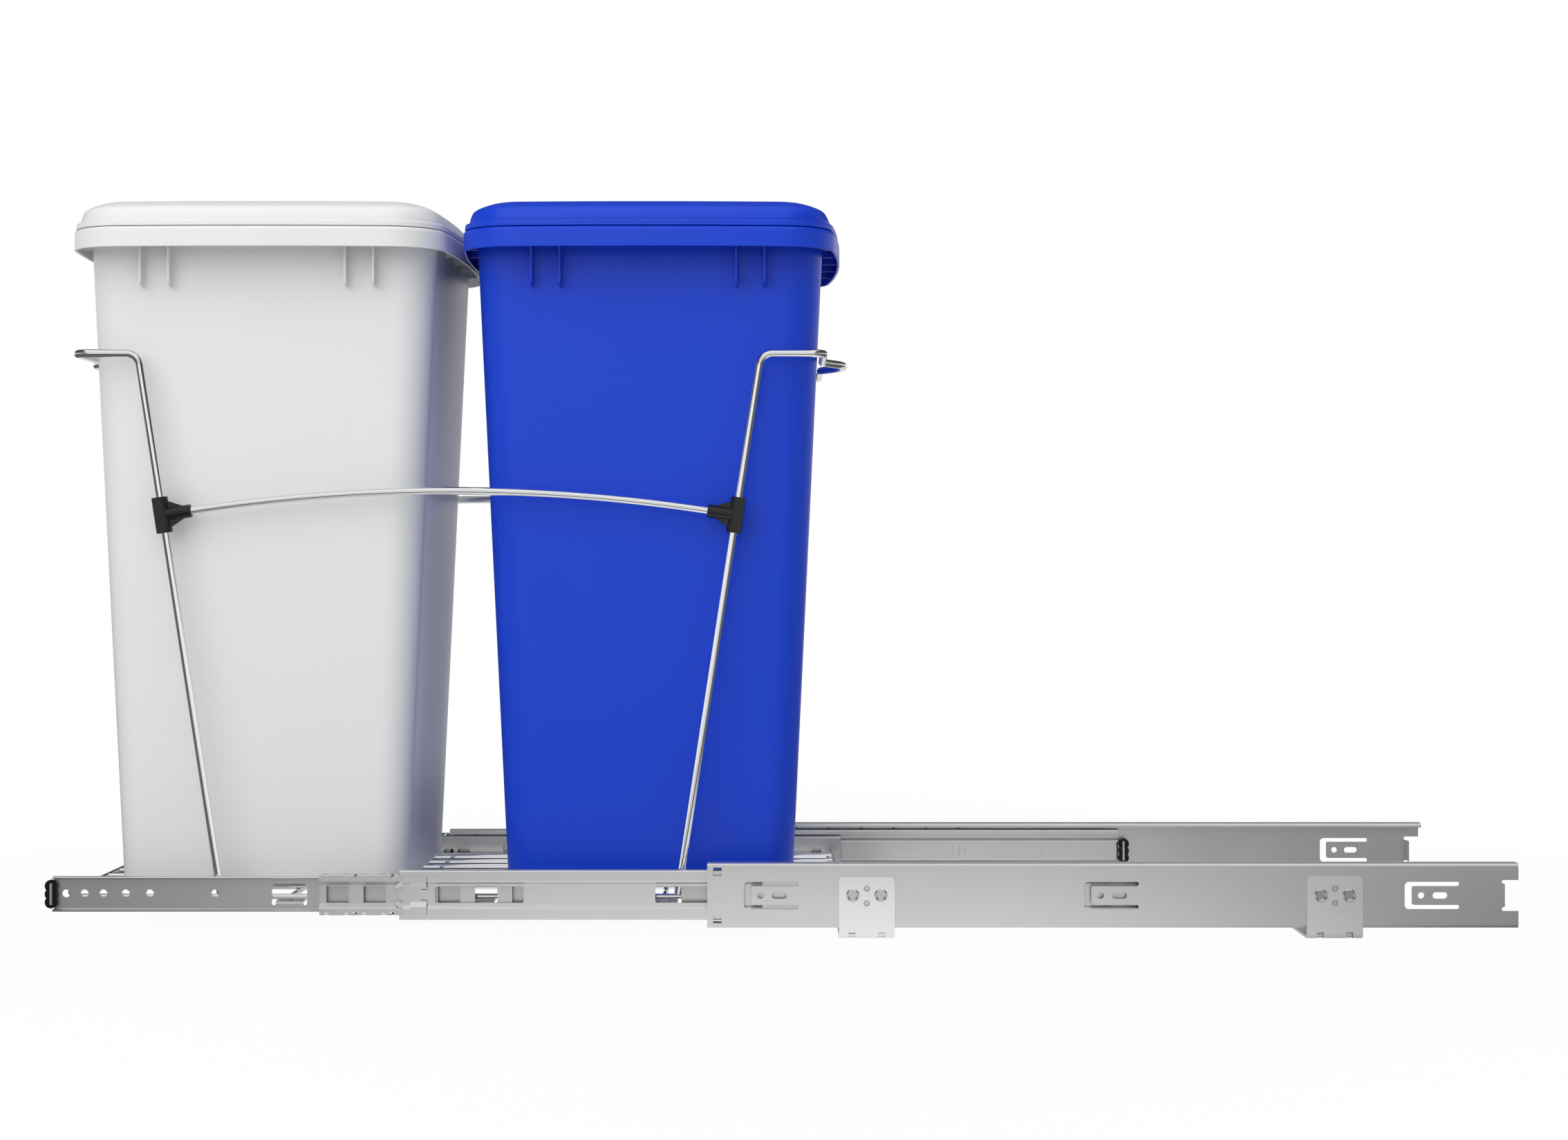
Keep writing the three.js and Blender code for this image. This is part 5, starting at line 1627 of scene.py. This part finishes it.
@dataclass
class WireCradle:
    """The chromed tray, hoops and side arches, with their moulded tees."""

    wires: WireRecipe
    wire: float = 5.6
    tray_wire: float = 4.0
    tray_level: float = 29.9
    rim_level: float = 27.0
    end_level: float = 30.0
    end_overhang: float = 0.9
    front_shift: float = 1.0
    cross_level: float = 26.6
    cross_gap: float = 0.4
    tray_side: float = 131.6
    tray: Pair = (-550.95, -18.25)
    tray_rods: int = 9
    crossings: tuple[float, ...] = (-399.8, -315.6, -253.6, -140.3, -22.25)
    centre: float = -289.5
    frame_side: float = 130.3
    ring: float = 260.3
    ring_level: float = 404.3
    ring_corner: float = 10.0
    leg_bend: float = 9.5
    leg_slope: float = 0.1532
    foot_level: float = 30.3
    leg_foot: float = 28.8
    foot_half: float = 159.1
    pull_half: float = 42.5
    pull_reach: float = 16.5
    pull_crown: float = 14.5
    pull_bend: float = 52.0
    pull_root: float = 8.0
    arch_root: float = 5.75
    tee_level: float = 291.9
    tee_length: float = 25.0
    tee_width: float = 10.3
    tee_branch: float = 9.2
    tee_reach: float = 20.1
    tee_bore: float = 6.3
    branch_root: float = 0.5
    tee_setback: float = 1.0
    tee_web_half: Pair = (2.0, 2.2)
    tee_edge: float = 0.45
    bore_reach: Pair = (20.0, 30.0)

    @property
    def lean(self) -> float:
        """The legs' angle from upright."""
        return math.atan(self.leg_slope)

    def leg_x(self, end: End, level: float) -> float:
        """Where a leg's middle line is at a height."""
        rise = (level - self.foot_level) * self.leg_slope
        return self.centre + end.sign * (self.foot_half + rise)

    def build(self) -> None:
        """Models the whole cradle."""
        self.build_tray()
        for end in End:
            self.build_hoop(end)
        for side in Side:
            self.build_arch(side)
            for end in End:
                self.build_tee(side, end)

    def build_tray(self) -> None:
        """The welded tray: side wires on the tabs, end wires on top, long rods, cross wires."""
        front, rear = self.tray
        side, level = self.tray_side, self.tray_level
        paths = [[(front, y, self.rim_level), (rear, y, self.rim_level)] for y in (-side, side)]
        reach = side + self.end_overhang
        for x in (front - self.front_shift, rear):
            paths.append([(x, -reach, self.end_level), (x, reach, self.end_level)])
        for k in range(1, self.tray_rods - 1):
            y = side * (2 * k / (self.tray_rods - 1) - 1)
            paths.append([(front, y, level), (rear, y, level)])
        reach = side - self.cross_gap
        for x in self.crossings:
            paths.append([(x, -reach, self.cross_level), (x, reach, self.cross_level)])
        mesh = self.wires.sweep("tray", paths, self.tray_wire, 16)
        Bench.publish(mesh, "tray_wires", CHROME, Body.CARRIAGE.value, ["wire_tray"])

    def build_hoop(self, end: End) -> None:
        """One hoop: up a leg, out to the ring's end, across with its pull, and back down.

        Args:
            end: The end that it stands at.
        """
        ring_x = self.centre + end.sign * self.ring
        pull_x = ring_x + end.sign * self.pull_reach
        level, y = self.ring_level, self.frame_side
        half = [
            ((self.leg_x(end, self.leg_foot), y, self.leg_foot), 0),
            ((self.leg_x(end, level), y, level), self.leg_bend),
            ((ring_x, y, level), self.ring_corner),
            ((ring_x, self.pull_half, level), self.pull_root),
            ((pull_x, self.pull_crown, level), self.pull_bend),
        ]
        route = half + [((p[0], -p[1], p[2]), r) for p, r in reversed(half)]
        path = bend_path([p for p, _ in route], [r for _, r in route[1:-1]])
        mesh = self.wires.sweep("hoop", [path], self.wire)
        node = f"{end.value}_hoop"
        Bench.publish(mesh, f"{node}_wire", CHROME, Body.CARRIAGE.value, [node])

    def build_arch(self, side: Side, steps: int = 24) -> None:
        """A side wire, bowed so that it leaves each tee straight.

        Args:
            side: The side that it is on.
            steps: Facets from a tee to the crown.
        """
        y, lean = side.sign * self.frame_side, self.lean

        def along(reach: float) -> Point:
            """A point on the front tee's branch line."""
            root = self.leg_x(End.FRONT, self.tee_level)
            return (root + reach * math.cos(lean), y, self.tee_level + reach * math.sin(lean))

        start = along(self.tee_reach)
        radius = (self.centre - start[0]) / math.sin(lean)
        centre_z = start[2] - radius * math.cos(lean)
        half = [along(self.arch_root)]
        for k in range(steps):
            angle = lean * (1 - k / steps)
            x, z = self.centre - radius * math.sin(angle), centre_z + radius * math.cos(angle)
            half.append((x, y, z))
        crown = (self.centre, y, centre_z + radius)
        path = half + [crown] + [(2 * self.centre - x, v, z) for x, v, z in reversed(half)]
        mesh = self.wires.sweep("arch", [path], self.wire)
        nodes = [f"side_arch_{side.value}"]
        Bench.publish(mesh, f"side_arch_wire_{side.value}", CHROME, Body.CARRIAGE.value, nodes)

    def build_tee(self, side: Side, end: End) -> None:
        """A moulded tee, drawn with its sleeve along Z and its branch along +X.

        Args:
            side: The side that it is on.
            end: The end of the hoop that it sits on.
        """
        half, length, bore = self.tee_width / 2, self.tee_length / 2, self.tee_bore / 2
        curve = [(half * math.sin(a), -half * math.cos(a)) for a in turns(math.pi, 16)]
        sleeve = Form().prism([(-half, -half), *curve, (-half, half)], along_z, (-length, length))
        branch = Form().rod(along_x, self.tee_branch / 2, (self.branch_root, self.tee_reach))
        root, tip = length - self.tee_setback, self.tee_reach - self.tee_setback
        thick, tall = self.tee_web_half
        outline = [(0, -root), (tip, -tall), (tip, tall), (0, root)]
        web = Form().prism(outline, along_y, (-thick, thick))
        upright, outward = self.bore_reach
        bores = [
            Form().rod(along_z, bore, (-upright, upright)),
            Form().rod(along_x, bore, (half, outward)),
        ]
        parts = [Bench.soften(form.mesh("tee"), self.tee_edge, 3) for form in (sleeve, branch, web)]
        mesh = Bench.joined([Bench.carve(part, bores) for part in parts])
        facing = Matrix.Rotation(math.pi if end is End.REAR else 0, 4, "Z")
        turn = Matrix.Rotation(end.sign * self.lean, 4, "Y") @ facing
        place = (self.leg_x(end, self.tee_level), side.sign * self.frame_side, self.tee_level)
        mesh.transform(Matrix.Translation(Vector(place) * MM) @ turn)
        name = f"{end.value}_tee_moulding_{side.value}"
        nodes = [f"{end.value}_tee_{side.value}"]
        Bench.publish(mesh, name, BLACK_PLASTIC, Body.CARRIAGE.value, nodes)


# ---- Bins and lids ----


def bulged_ring(
    centre: float, half: Pair, corner: float, bulge: Pair, steps: int = 10, run: int = 6
) -> list[Pair]:
    """A rounded rectangle whose ends and sides bulge on large radii.

    Args:
        centre: The middle's x.
        half: Half length and half width.
        corner: The corner radius.
        bulge: The radius of the ends and of the sides.
        steps: Facets to a corner.
        run: Facets to half a side.

    Returns:
        The outline, from the end's middle round to it.
    """
    half_length, half_width = half
    end_radius, side_radius = bulge
    corner_x, corner_y = half_length - corner, half_width - corner
    for _ in range(8):
        corner_x = half_length - end_radius + math.sqrt((end_radius - corner) ** 2 - corner_y ** 2)
        corner_y = half_width - side_radius + math.sqrt((side_radius - corner) ** 2 - corner_x ** 2)
    first = math.asin(corner_y / (end_radius - corner))
    final = RIGHT_ANGLE - math.asin(corner_x / (side_radius - corner))
    quarter = arc((half_length - end_radius, 0), end_radius, 0, first, run)[:-1]
    quarter += arc((corner_x, corner_y), corner, first, final, steps)
    quarter += arc((0, half_width - side_radius), side_radius, final, RIGHT_ANGLE, run)[1:]
    upper = quarter + [(-x, y) for x, y in reversed(quarter[1:-1])]
    ring = upper + [(-x, -y) for x, y in upper]
    return [(centre + x, y) for x, y in ring]


@dataclass
class Container:
    """What a bin and its lid share: the rim's outline and the tapering body's."""

    rows: RowRecipe
    end: End
    finish: Finish
    middle: float = -288.0
    floor: float = 32.6
    height: float = 458.4
    wall: float = 2.0
    foot: Pair = (202.0, 219.6)
    foot_corner: float = 22.0
    top: Pair = (245.0, 237.8)
    top_corner: float = 26.0
    rim: Pair = (271.4, 300.0)
    rim_corner: float = 40.0
    rim_bulge: Pair = (1160.0, 1500.0)
    rim_gap: float = 1.0
    flat: float = 30000.0

    @property
    def centre(self) -> float:
        """The bin's middle along X."""
        return self.middle + self.end.sign * (self.rim[0] + self.rim_gap) / 2

    @property
    def rim_top(self) -> float:
        """The rim's upper face."""
        return self.floor + self.height

    def rim_ring(self, inset: float) -> list[Pair]:
        """The rim's outline, moved inward."""
        half = (self.rim[0] / 2 - inset, self.rim[1] / 2 - inset)
        bulge = (self.rim_bulge[0] - inset, self.rim_bulge[1] - inset)
        return bulged_ring(self.centre, half, max(self.rim_corner - inset, 1.0), bulge)

    def body_ring(self, inset: float, level: float) -> list[Pair]:
        """The tapering body's outline at a height, moved inward."""
        share = (level - self.floor) / (self.height - self.wall)
        length, width = (a + (b - a) * share for a, b in zip(self.foot, self.top))
        corner = self.foot_corner + (self.top_corner - self.foot_corner) * share
        half = (length / 2 - inset, width / 2 - inset)
        return bulged_ring(self.centre, half, corner - inset, (self.flat, self.flat))


@dataclass
class WasteBin(Container):
    """A tapering bin with a turned-down rim, side fins and end ribs."""

    skirt: float = 14.3
    skirt_wall: float = 1.8
    skirt_round: float = 0.6
    shoulder: float = 2.8
    fillet: float = 3.0
    blend: float = 2.0
    rim_edge: float = 0.3
    mouth_edge: float = 0.6
    middle_insets: Pair = (40.0, 42.0)
    fin: float = 1.6
    fin_section: tuple[Pair, ...] = (
        (-3.0, -1.0), (17.5, -1.0), (9.5, 13.0), (9.5, 34.9), (6.0, 37.4), (-3.0, 37.4),
    )
    fin_places: Pair = (-81.2, 61.5)
    fin_pitch: float = 19.7
    fin_edge: float = 0.35
    rib_places: tuple[float, ...] = (-94.0, -47.0, 0.0, 47.0, 94.0)
    rib_height: float = 9.0
    rib_root: float = 1.0
    body: Body = Body.WHITE_BIN

    def build(self) -> None:
        """Models the bin."""
        shell = Form().loft(self.rings(), self.floor, self.floor + self.wall).mesh("shell")
        fins = Bench.soften(self.fin_form().mesh("fins"), self.fin_edge, 2)
        fins = self.rows.repeat(fins, 2, (self.fin_pitch, 0, 0), self.finish)
        mesh = Bench.joined([shell, fins, self.rib_form().mesh("ribs")])
        name = f"{self.end.value}_bin"
        Bench.publish(mesh, f"{name}_moulding", self.finish, self.body.value, [name])

    def rings(self) -> list[Ring]:
        """The shell's rings, from the underside's middle, over the rim and down inside.

        Returns:
            The rings.
        """
        top, under = self.rim_top, self.rim_top - self.wall
        fillet, blend, wall = self.fillet, self.blend, self.wall
        rings: list[Ring] = [(self.body_ring(self.middle_insets[0], self.floor), self.floor)]
        for angle in turns(RIGHT_ANGLE, 5):
            level = self.floor + fillet * (1 - math.cos(angle))
            rings.append((self.body_ring(fillet * (1 - math.sin(angle)), level), level))
        for k in range(1, 9):
            level = self.floor + fillet + (under - blend - self.floor - fillet) * k / 8
            rings.append((self.body_ring(0, level), level))
        neck = self.body_ring(0, under)
        for angle in turns(RIGHT_ANGLE, 4)[1:]:
            ring = self.outset(neck, blend * (1 - math.cos(angle)))
            rings.append((ring, under - blend + blend * math.sin(angle)))
        rings.append((self.rim_ring(self.skirt_wall + self.rim_edge), under))
        rings.append((self.rim_ring(self.skirt_wall), under - self.rim_edge))
        rings += self.rim_rings(top)
        rings.append((self.body_ring(wall + self.mouth_edge, top), top))
        rings.append((self.body_ring(wall, top - self.mouth_edge), top - self.mouth_edge))
        inner = self.floor + wall
        rings.append((self.body_ring(wall, inner + fillet), inner + fillet))
        for angle in turns(RIGHT_ANGLE, 4)[1:]:
            level = inner + fillet * (1 - math.sin(angle))
            rings.append((self.body_ring(wall + fillet * (1 - math.cos(angle)), level), level))
        rings.append((self.body_ring(self.middle_insets[1], inner), inner))
        return rings

    def rim_rings(self, top: float) -> list[Ring]:
        """The rings round the skirt's lower edge and over the rim's shoulder.

        Args:
            top: The rim's upper face.

        Returns:
            The rings.
        """
        half, bottom = self.skirt_wall / 2, top - self.skirt
        rings: list[Ring] = []
        for angle in turns(math.pi, 6):
            level = bottom + self.skirt_round - self.skirt_round * math.sin(angle)
            rings.append((self.rim_ring(half + half * math.cos(angle)), level))
        for angle in turns(RIGHT_ANGLE, 6):
            level = top - self.shoulder * (1 - math.sin(angle))
            rings.append((self.rim_ring(self.shoulder * (1 - math.cos(angle))), level))
        return rings

    @staticmethod
    def outset(ring: Sequence[Pair], distance: float) -> list[Pair]:
        """A ring moved outward along its own normals.

        Args:
            ring: The outline.
            distance: How far it moves.

        Returns:
            The moved outline.
        """
        made: list[Pair] = []
        count = len(ring)
        for i, (x, y) in enumerate(ring):
            tangent = Vector(ring[(i + 1) % count]) - Vector(ring[i - 1])
            normal = Vector((tangent.y, -tangent.x)).normalized()
            made.append((x + normal.x * distance, y + normal.y * distance))
        return made

    def fin_form(self) -> Form:
        """The first fin of each pair, on both sides.

        Returns:
            The fins.
        """
        form = Form()
        under, wall = self.rim_top - self.wall, self.top[1] / 2
        for edge in (-1, 1):
            outline = [(edge * (wall + out), under - down) for out, down in self.fin_section]
            for place in self.fin_places:
                x = self.centre + place
                form.prism(outline, along_x, (x - self.fin / 2, x + self.fin / 2))
        return form

    def rib_form(self) -> Form:
        """The short ribs under the rim at both ends.

        Returns:
            The ribs.
        """
        form = Form()
        under = self.rim_top - self.wall
        z = (under - self.rib_height, under + self.rib_root)
        wall, reach = self.top[0] / 2, self.rim[0] / 2 - self.skirt_wall / 2
        for edge in (-1, 1):
            root = self.centre + edge * (wall - self.rib_root)
            for y in self.rib_places:
                sag = y * y / (2 * self.rim_bulge[0])
                x = ordered(root, self.centre + edge * (reach - sag))
                form.box(x, (y - self.fin / 2, y + self.fin / 2), z)
        return form


@dataclass
class BinLid(Container):
    """A loose lid: a flange, a ledge and a soft stepped dome with a shallow boss."""

    lift: float = 0.3
    inset: float = 1.2
    flange: float = 4.2
    flange_edge: float = 0.4
    edge: float = 1.2
    ledge: float = 3.2
    ledge_gap: float = 0.5
    dome: tuple[Pair, ...] = (
        (0, 0), (0.2, 2.7), (1.2, 5.7), (3, 8.8), (7.9, 11.6), (18.4, 14.9), (34, 16.6),
    )
    dome_guide: Pair = (60.0, 17.2)
    crown: float = 18.5
    crown_wall: float = 4.0
    boss: float = 36.0
    boss_foot: float = 1.3
    boss_shares: Point = (0.35, 0.7, 1.0)
    boss_rings: tuple[Pair, ...] = ((33.0, 1.15), (30.0, 0.75), (27.0, 0.5), (15.0, 0.15))
    lip: float = 7.0
    lip_gap: float = 1.0
    lip_wall: float = 2.0
    lip_edge: Pair = (0.4, 0.3)
    lip_rise: float = 10.6
    hollow_inset: float = 12.0
    body: Body = Body.WHITE_LID

    @property
    def flange_top(self) -> float:
        """The flange's upper face."""
        return self.rim_top + self.lift + self.flange

    def build(self) -> None:
        """Models the lid."""
        crown = self.flange_top + self.crown
        mesh = Form().loft(self.rings(), crown - self.crown_wall, crown).mesh("lid")
        name = f"{self.end.value}_lid"
        Bench.publish(mesh, f"{name}_moulding", self.finish, self.body.value, [name])

    def profile(self, steps: int = 4) -> list[Pair]:
        """The dome's (inset, rise) points, with a smooth curve through them.

        Args:
            steps: Points to each stretch between two of the dome's.

        Returns:
            The points from the ledge up.
        """
        points = [self.dome[0], *self.dome, self.dome_guide]

        def between(t: float, p: float, q: float, r: float, s: float) -> float:
            """A cubic from q to r that also looks at the values beside them."""
            square, cube = 2 * p - 5 * q + 4 * r - s, 3 * q - p - 3 * r + s
            return 0.5 * (2 * q + (r - p) * t + square * t * t + cube * t ** 3)

        made: list[Pair] = [self.dome[0]]
        for stretch in zip(points, points[1:], points[2:], points[3:]):
            for k in range(1, steps + 1):
                made.append(tuple(between(k / steps, *values) for values in zip(*stretch)))
        return made

    def rings(self) -> list[Ring]:
        """The lid's rings, from its hollow's middle, round the lip and flange and up the dome.

        Returns:
            The rings.
        """
        bottom, flange_top = self.rim_top + self.lift, self.flange_top
        foot = self.inset + self.ledge
        rings = self.lip_rings()
        for inset, rise in reversed(self.dome[1:5]):
            ring = self.rim_ring(foot + inset + self.wall)
            rings.append((ring, flange_top + rise - self.wall))
        rings.append((self.rim_ring(foot + self.wall), bottom))
        rings.append((self.rim_ring(self.inset + self.flange_edge), bottom))
        rings.append((self.rim_ring(self.inset), bottom + self.flange_edge))
        for angle in turns(RIGHT_ANGLE, 4):
            ring = self.rim_ring(self.inset + self.edge * (1 - math.cos(angle)))
            rings.append((ring, flange_top - self.edge * (1 - math.sin(angle))))
        rings.append((self.rim_ring(foot - self.ledge_gap), flange_top))
        for inset, rise in self.profile():
            rings.append((self.rim_ring(foot + inset), flange_top + rise))
        last, level = rings[-1]
        crown = flange_top + self.crown
        rise = crown - self.boss_foot - level
        for share in self.boss_shares:
            rings.append((self.towards_round(last, share, self.boss), level + rise * share))
        for radius, drop in self.boss_rings:
            rings.append((self.towards_round(last, 1.0, radius), crown - drop))
        return rings

    def lip_rings(self) -> list[Ring]:
        """The rings of the hollow under the dome and of the lip inside the bin's mouth.

        Returns:
            The rings.
        """
        ceiling, foot = self.flange_top + self.lip_rise, self.rim_top - self.lip
        step, rise = self.lip_edge
        route = [
            (self.hollow_inset, self.flange_top + self.crown - self.crown_wall),
            (self.lip_wall, ceiling), (self.lip_wall, foot + rise),
            (self.lip_wall - step, foot), (step, foot), (0.0, foot + rise), (0.0, ceiling),
        ]
        outer = self.wall + self.lip_gap
        return [(self.body_ring(outer + inset, self.rim_top), level) for inset, level in route]

    def towards_round(self, ring: Sequence[Pair], share: float, radius: float) -> list[Pair]:
        """A ring between an outline and a circle about the lid's middle.

        Args:
            ring: The outline.
            share: How far it goes towards the circle.
            radius: The circle's radius.

        Returns:
            The points between.
        """
        made: list[Pair] = []
        for x, y in ring:
            angle = math.atan2(y, x - self.centre)
            goal = (self.centre + radius * math.cos(angle), radius * math.sin(angle))
            made.append((x + (goal[0] - x) * share, y + (goal[1] - y) * share))
        return made


# ---- Studio ----


@dataclass(frozen=True)
class FloorSheen:
    """What glossy rays see of the floor: reaches in metres, and levels of 0 to 1."""

    near: Pair = (0.4, 0.62)
    beside: Pair = (0.12, 0.58)
    beside_level: float = 0.87
    beside_fall: float = 0.74
    wide_slope: float = 0.5
    wide: Pair = (0.0, 0.3)
    wide_gain: float = 0.03
    distant: Pair = (0.75, 1.2)
    distant_level: float = 0.62
    dark: float = 0.09

    def level(self, graph: Graph, aside: Signal, ahead: Signal) -> Signal:
        """The level by the distances along X and along Y."""
        near = 1 - graph.step(ahead, *self.near)
        beside = self.beside_level - graph.step(aside, *self.beside) * self.beside_fall
        wide = graph.step(aside - ahead * self.wide_slope, *self.wide)
        distant = graph.step(ahead, *self.distant) * (1 - wide) * self.distant_level
        return near * beside + (1 - near) * (distant + self.dark + wide * self.wide_gain)


@dataclass(frozen=True)
class SkyBands:
    """What glossy rays see of the surroundings: spans of direction, and levels of 0 to 1."""

    front: Pair = (-0.1, 0.1)
    card_side: Pair = (0.45, 0.6)
    card_height: Pair = (0.14, 0.19)
    strip_height: Pair = (0.13, 0.2)
    strip_level: float = 0.88
    canopy_height: Pair = (0.2, 0.3)
    canopy_side: Pair = (0.45, 0.62)
    canopy_back: Pair = (0.15, 0.35)
    canopy_level: float = 0.84
    dark: float = 0.07
    softening: float = 0.001

    def level(self, graph: Graph, across: Signal, depth: Signal, height: Signal) -> Signal:
        """The level by a direction's three parts.

        Args:
            graph: The world's nodes.
            across: The part along X.
            depth: The part along Y.
            height: The part along Z.

        Returns:
            The level.
        """
        aside = abs(across)
        turned = aside * ((1 - height ** 2 + self.softening) ** -0.5)
        front = graph.step(0 - depth, *self.front)
        card = front * (1 - graph.step(turned, *self.card_side))
        card = card * graph.step(height, *self.card_height)
        strip = (1 - graph.step(height, *self.strip_height)) * (1 - card)
        canopy = graph.step(height, *self.canopy_height)
        canopy = canopy * (1 - graph.step(aside, *self.canopy_side))
        canopy = canopy * (1 - graph.step(depth, *self.canopy_back))
        return self.dark + strip * self.strip_level + canopy * self.canopy_level


@dataclass(frozen=True)
class Lamp:
    """A soft square lamp: its place, the point that it is aimed at, its size and its power."""

    name: str
    place: Point
    target: Point
    size: float
    power: float


@dataclass
class Studio:
    """Floor, lamps, surroundings and the camera at the photograph's place."""

    camera_place: Point = (-57.0, -1997.2, 259.7)
    focal_pixels: float = 3885.5
    image_width: int = 2268
    horizon_drop: float = 12.5
    sensor: float = 36.0
    view_depth: float = 100.0
    floor_reach: float = 30.0
    floor_drop: float = 0.5
    floor_grey: float = 0.72
    floor_glow: Pair = (0.96, 0.04)
    glow_reach: Pair = (0.5, 1.6)
    sheen: FloorSheen = FloorSheen()
    bands: SkyBands = SkyBands()
    world_grey: float = 0.32
    lamps: tuple[Lamp, ...] = (
        Lamp("key", (-900, -1500, 1450), (-250, 0, 300), 2300, 33),
        Lamp("fill", (1300, -1500, 900), (-100, 0, 250), 1600, 3.2),
        Lamp("top", (-250, 100, 2300), (-250, 0, 0), 1800, 11),
        Lamp("rim", (1500, 900, 1100), (-150, 0, 250), 900, 8),
    )

    def build(self) -> None:
        """Sets up everything."""
        self.set_camera()
        self.set_floor()
        self.set_lamps()
        self.set_world()
        bpy.context.scene.view_settings.view_transform = "Standard"

    def set_camera(self) -> None:
        """The camera looks level along +Y."""
        data = bpy.data.cameras.new("camera")
        data.sensor_width = self.sensor
        data.lens = self.focal_pixels / self.image_width * self.sensor
        data.shift_y = -self.horizon_drop / self.image_width
        data.clip_end = self.view_depth
        camera = bpy.data.objects.new("camera", data)
        camera.location = Vector(self.camera_place) * MM
        camera.rotation_euler = (RIGHT_ANGLE, 0, 0)
        bpy.context.scene.collection.objects.link(camera)
        bpy.context.scene.camera = camera

    def set_floor(self) -> None:
        """A wide pale floor that keeps a faint shadow."""
        mesh = bpy.data.meshes.new("floor")
        reach = self.floor_reach
        corners = [(-reach, -reach, 0), (reach, -reach, 0), (reach, reach, 0), (-reach, reach, 0)]
        mesh.from_pydata(corners, [], [(0, 1, 2, 3)])
        floor = bpy.data.objects.new("floor", mesh)
        floor.location = (0, 0, -self.floor_drop * MM)
        bpy.context.scene.collection.objects.link(floor)
        mesh.materials.append(self.floor_material())

    def floor_material(self) -> bpy.types.Material:
        """Matt to the object's light, white to the camera, patterned to glossy rays.

        Returns:
            The material.
        """
        material = bpy.data.materials.new("pale_floor")
        material.use_nodes = True
        graph = Graph(material.node_tree)
        seen, glossy, through = graph.rays()
        across, depth, _ = graph.axes("Object")
        aside, ahead = abs(across - self.camera_place[0] * MM), abs(depth)
        sheen = self.sheen.level(graph, aside, ahead)
        white = (seen + through) + (1 - seen - through) * sheen
        colour = graph.mix(white, BLACK, WHITE)
        glow = graph.node("ShaderNodeEmission", {}, {"Color": colour, "Strength": 1.0})
        grey = (self.floor_grey,) * 3 + (1.0,)
        matt = graph.node("ShaderNodeBsdfDiffuse", {}, {"Color": grey})
        level, gain = self.floor_glow
        faint = graph.step(aside + ahead, *self.glow_reach)
        share = (seen + through) * (level + faint * gain) + glossy * (1 - seen)
        shaders = {0: share, 1: matt.outputs[0], 2: glow.outputs[0]}
        mixed = graph.node("ShaderNodeMixShader", {}, shaders)
        graph.node("ShaderNodeOutputMaterial", {}, {0: mixed.outputs[0]})
        return material

    def set_lamps(self) -> None:
        """The lamps, hidden from glossy rays, which see the world's bands instead."""
        for lamp in self.lamps:
            data = bpy.data.lights.new(lamp.name, "AREA")
            data.shape = "SQUARE"
            data.size = lamp.size * MM
            data.energy = lamp.power
            light = bpy.data.objects.new(lamp.name, data)
            light.location = Vector(lamp.place) * MM
            aim = Vector(lamp.target) - Vector(lamp.place)
            light.rotation_euler = aim.to_track_quat("-Z", "Y").to_euler()
            light.visible_glossy = False
            bpy.context.scene.collection.objects.link(light)

    def set_world(self) -> None:
        """White to the camera, a plain grey glow to matt surfaces, banded to glossy ones."""
        world = bpy.data.worlds.new("studio")
        bpy.context.scene.world = world
        world.use_nodes = True
        graph = Graph(world.node_tree)
        seen, glossy, through = graph.rays()
        bands = self.bands.level(graph, *graph.axes("Generated"))
        glow = bands * glossy + (1 - glossy) * self.world_grey
        strength = (seen + through) + (1 - seen - through) * glow
        colour = graph.mix(strength, BLACK, WHITE)
        background = graph.node("ShaderNodeBackground", {}, {"Color": colour, "Strength": 1.0})
        graph.node("ShaderNodeOutputWorld", {}, {0: background.outputs[0]})


def main() -> None:
    """Builds every sub-assembly around the frame."""
    logging.basicConfig(level=logging.INFO, format="%(message)s")
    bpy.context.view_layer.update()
    rows, wires = RowRecipe(), WireRecipe()
    CabinetMember(rows).build()
    IntermediateMember(rows).build()
    DrawerMember(rows).build()
    BallCage(rows).build()
    BallCage(
        rows, name="outer_ball_cage", body=Body.OUTER_CAGE, front=-71.975, length=170.0,
        upper=((9.9, 19.0), (1.85, 19.0)), web=1.6, ball=3.3, ball_level=19.25, ball_depth=5.75,
    ).build()
    Buffer(rows).build()
    Buffer(
        rows, name="rear_buffer", body=Body.INTERMEDIATE, x=213.05, depth=(6.0, 8.8),
    ).build()
    CrossRail(rows).build()
    WireCradle(wires).build()
    for end, finish, bin_body, lid_body in (
        (End.FRONT, WHITE_PLASTIC, Body.WHITE_BIN, Body.WHITE_LID),
        (End.REAR, BLUE_PLASTIC, Body.BLUE_BIN, Body.BLUE_LID),
    ):
        WasteBin(rows, end, finish, body=bin_body).build()
        BinLid(rows, end, finish, body=lid_body).build()
    Studio().build()


if __name__ == "__main__":
    main()
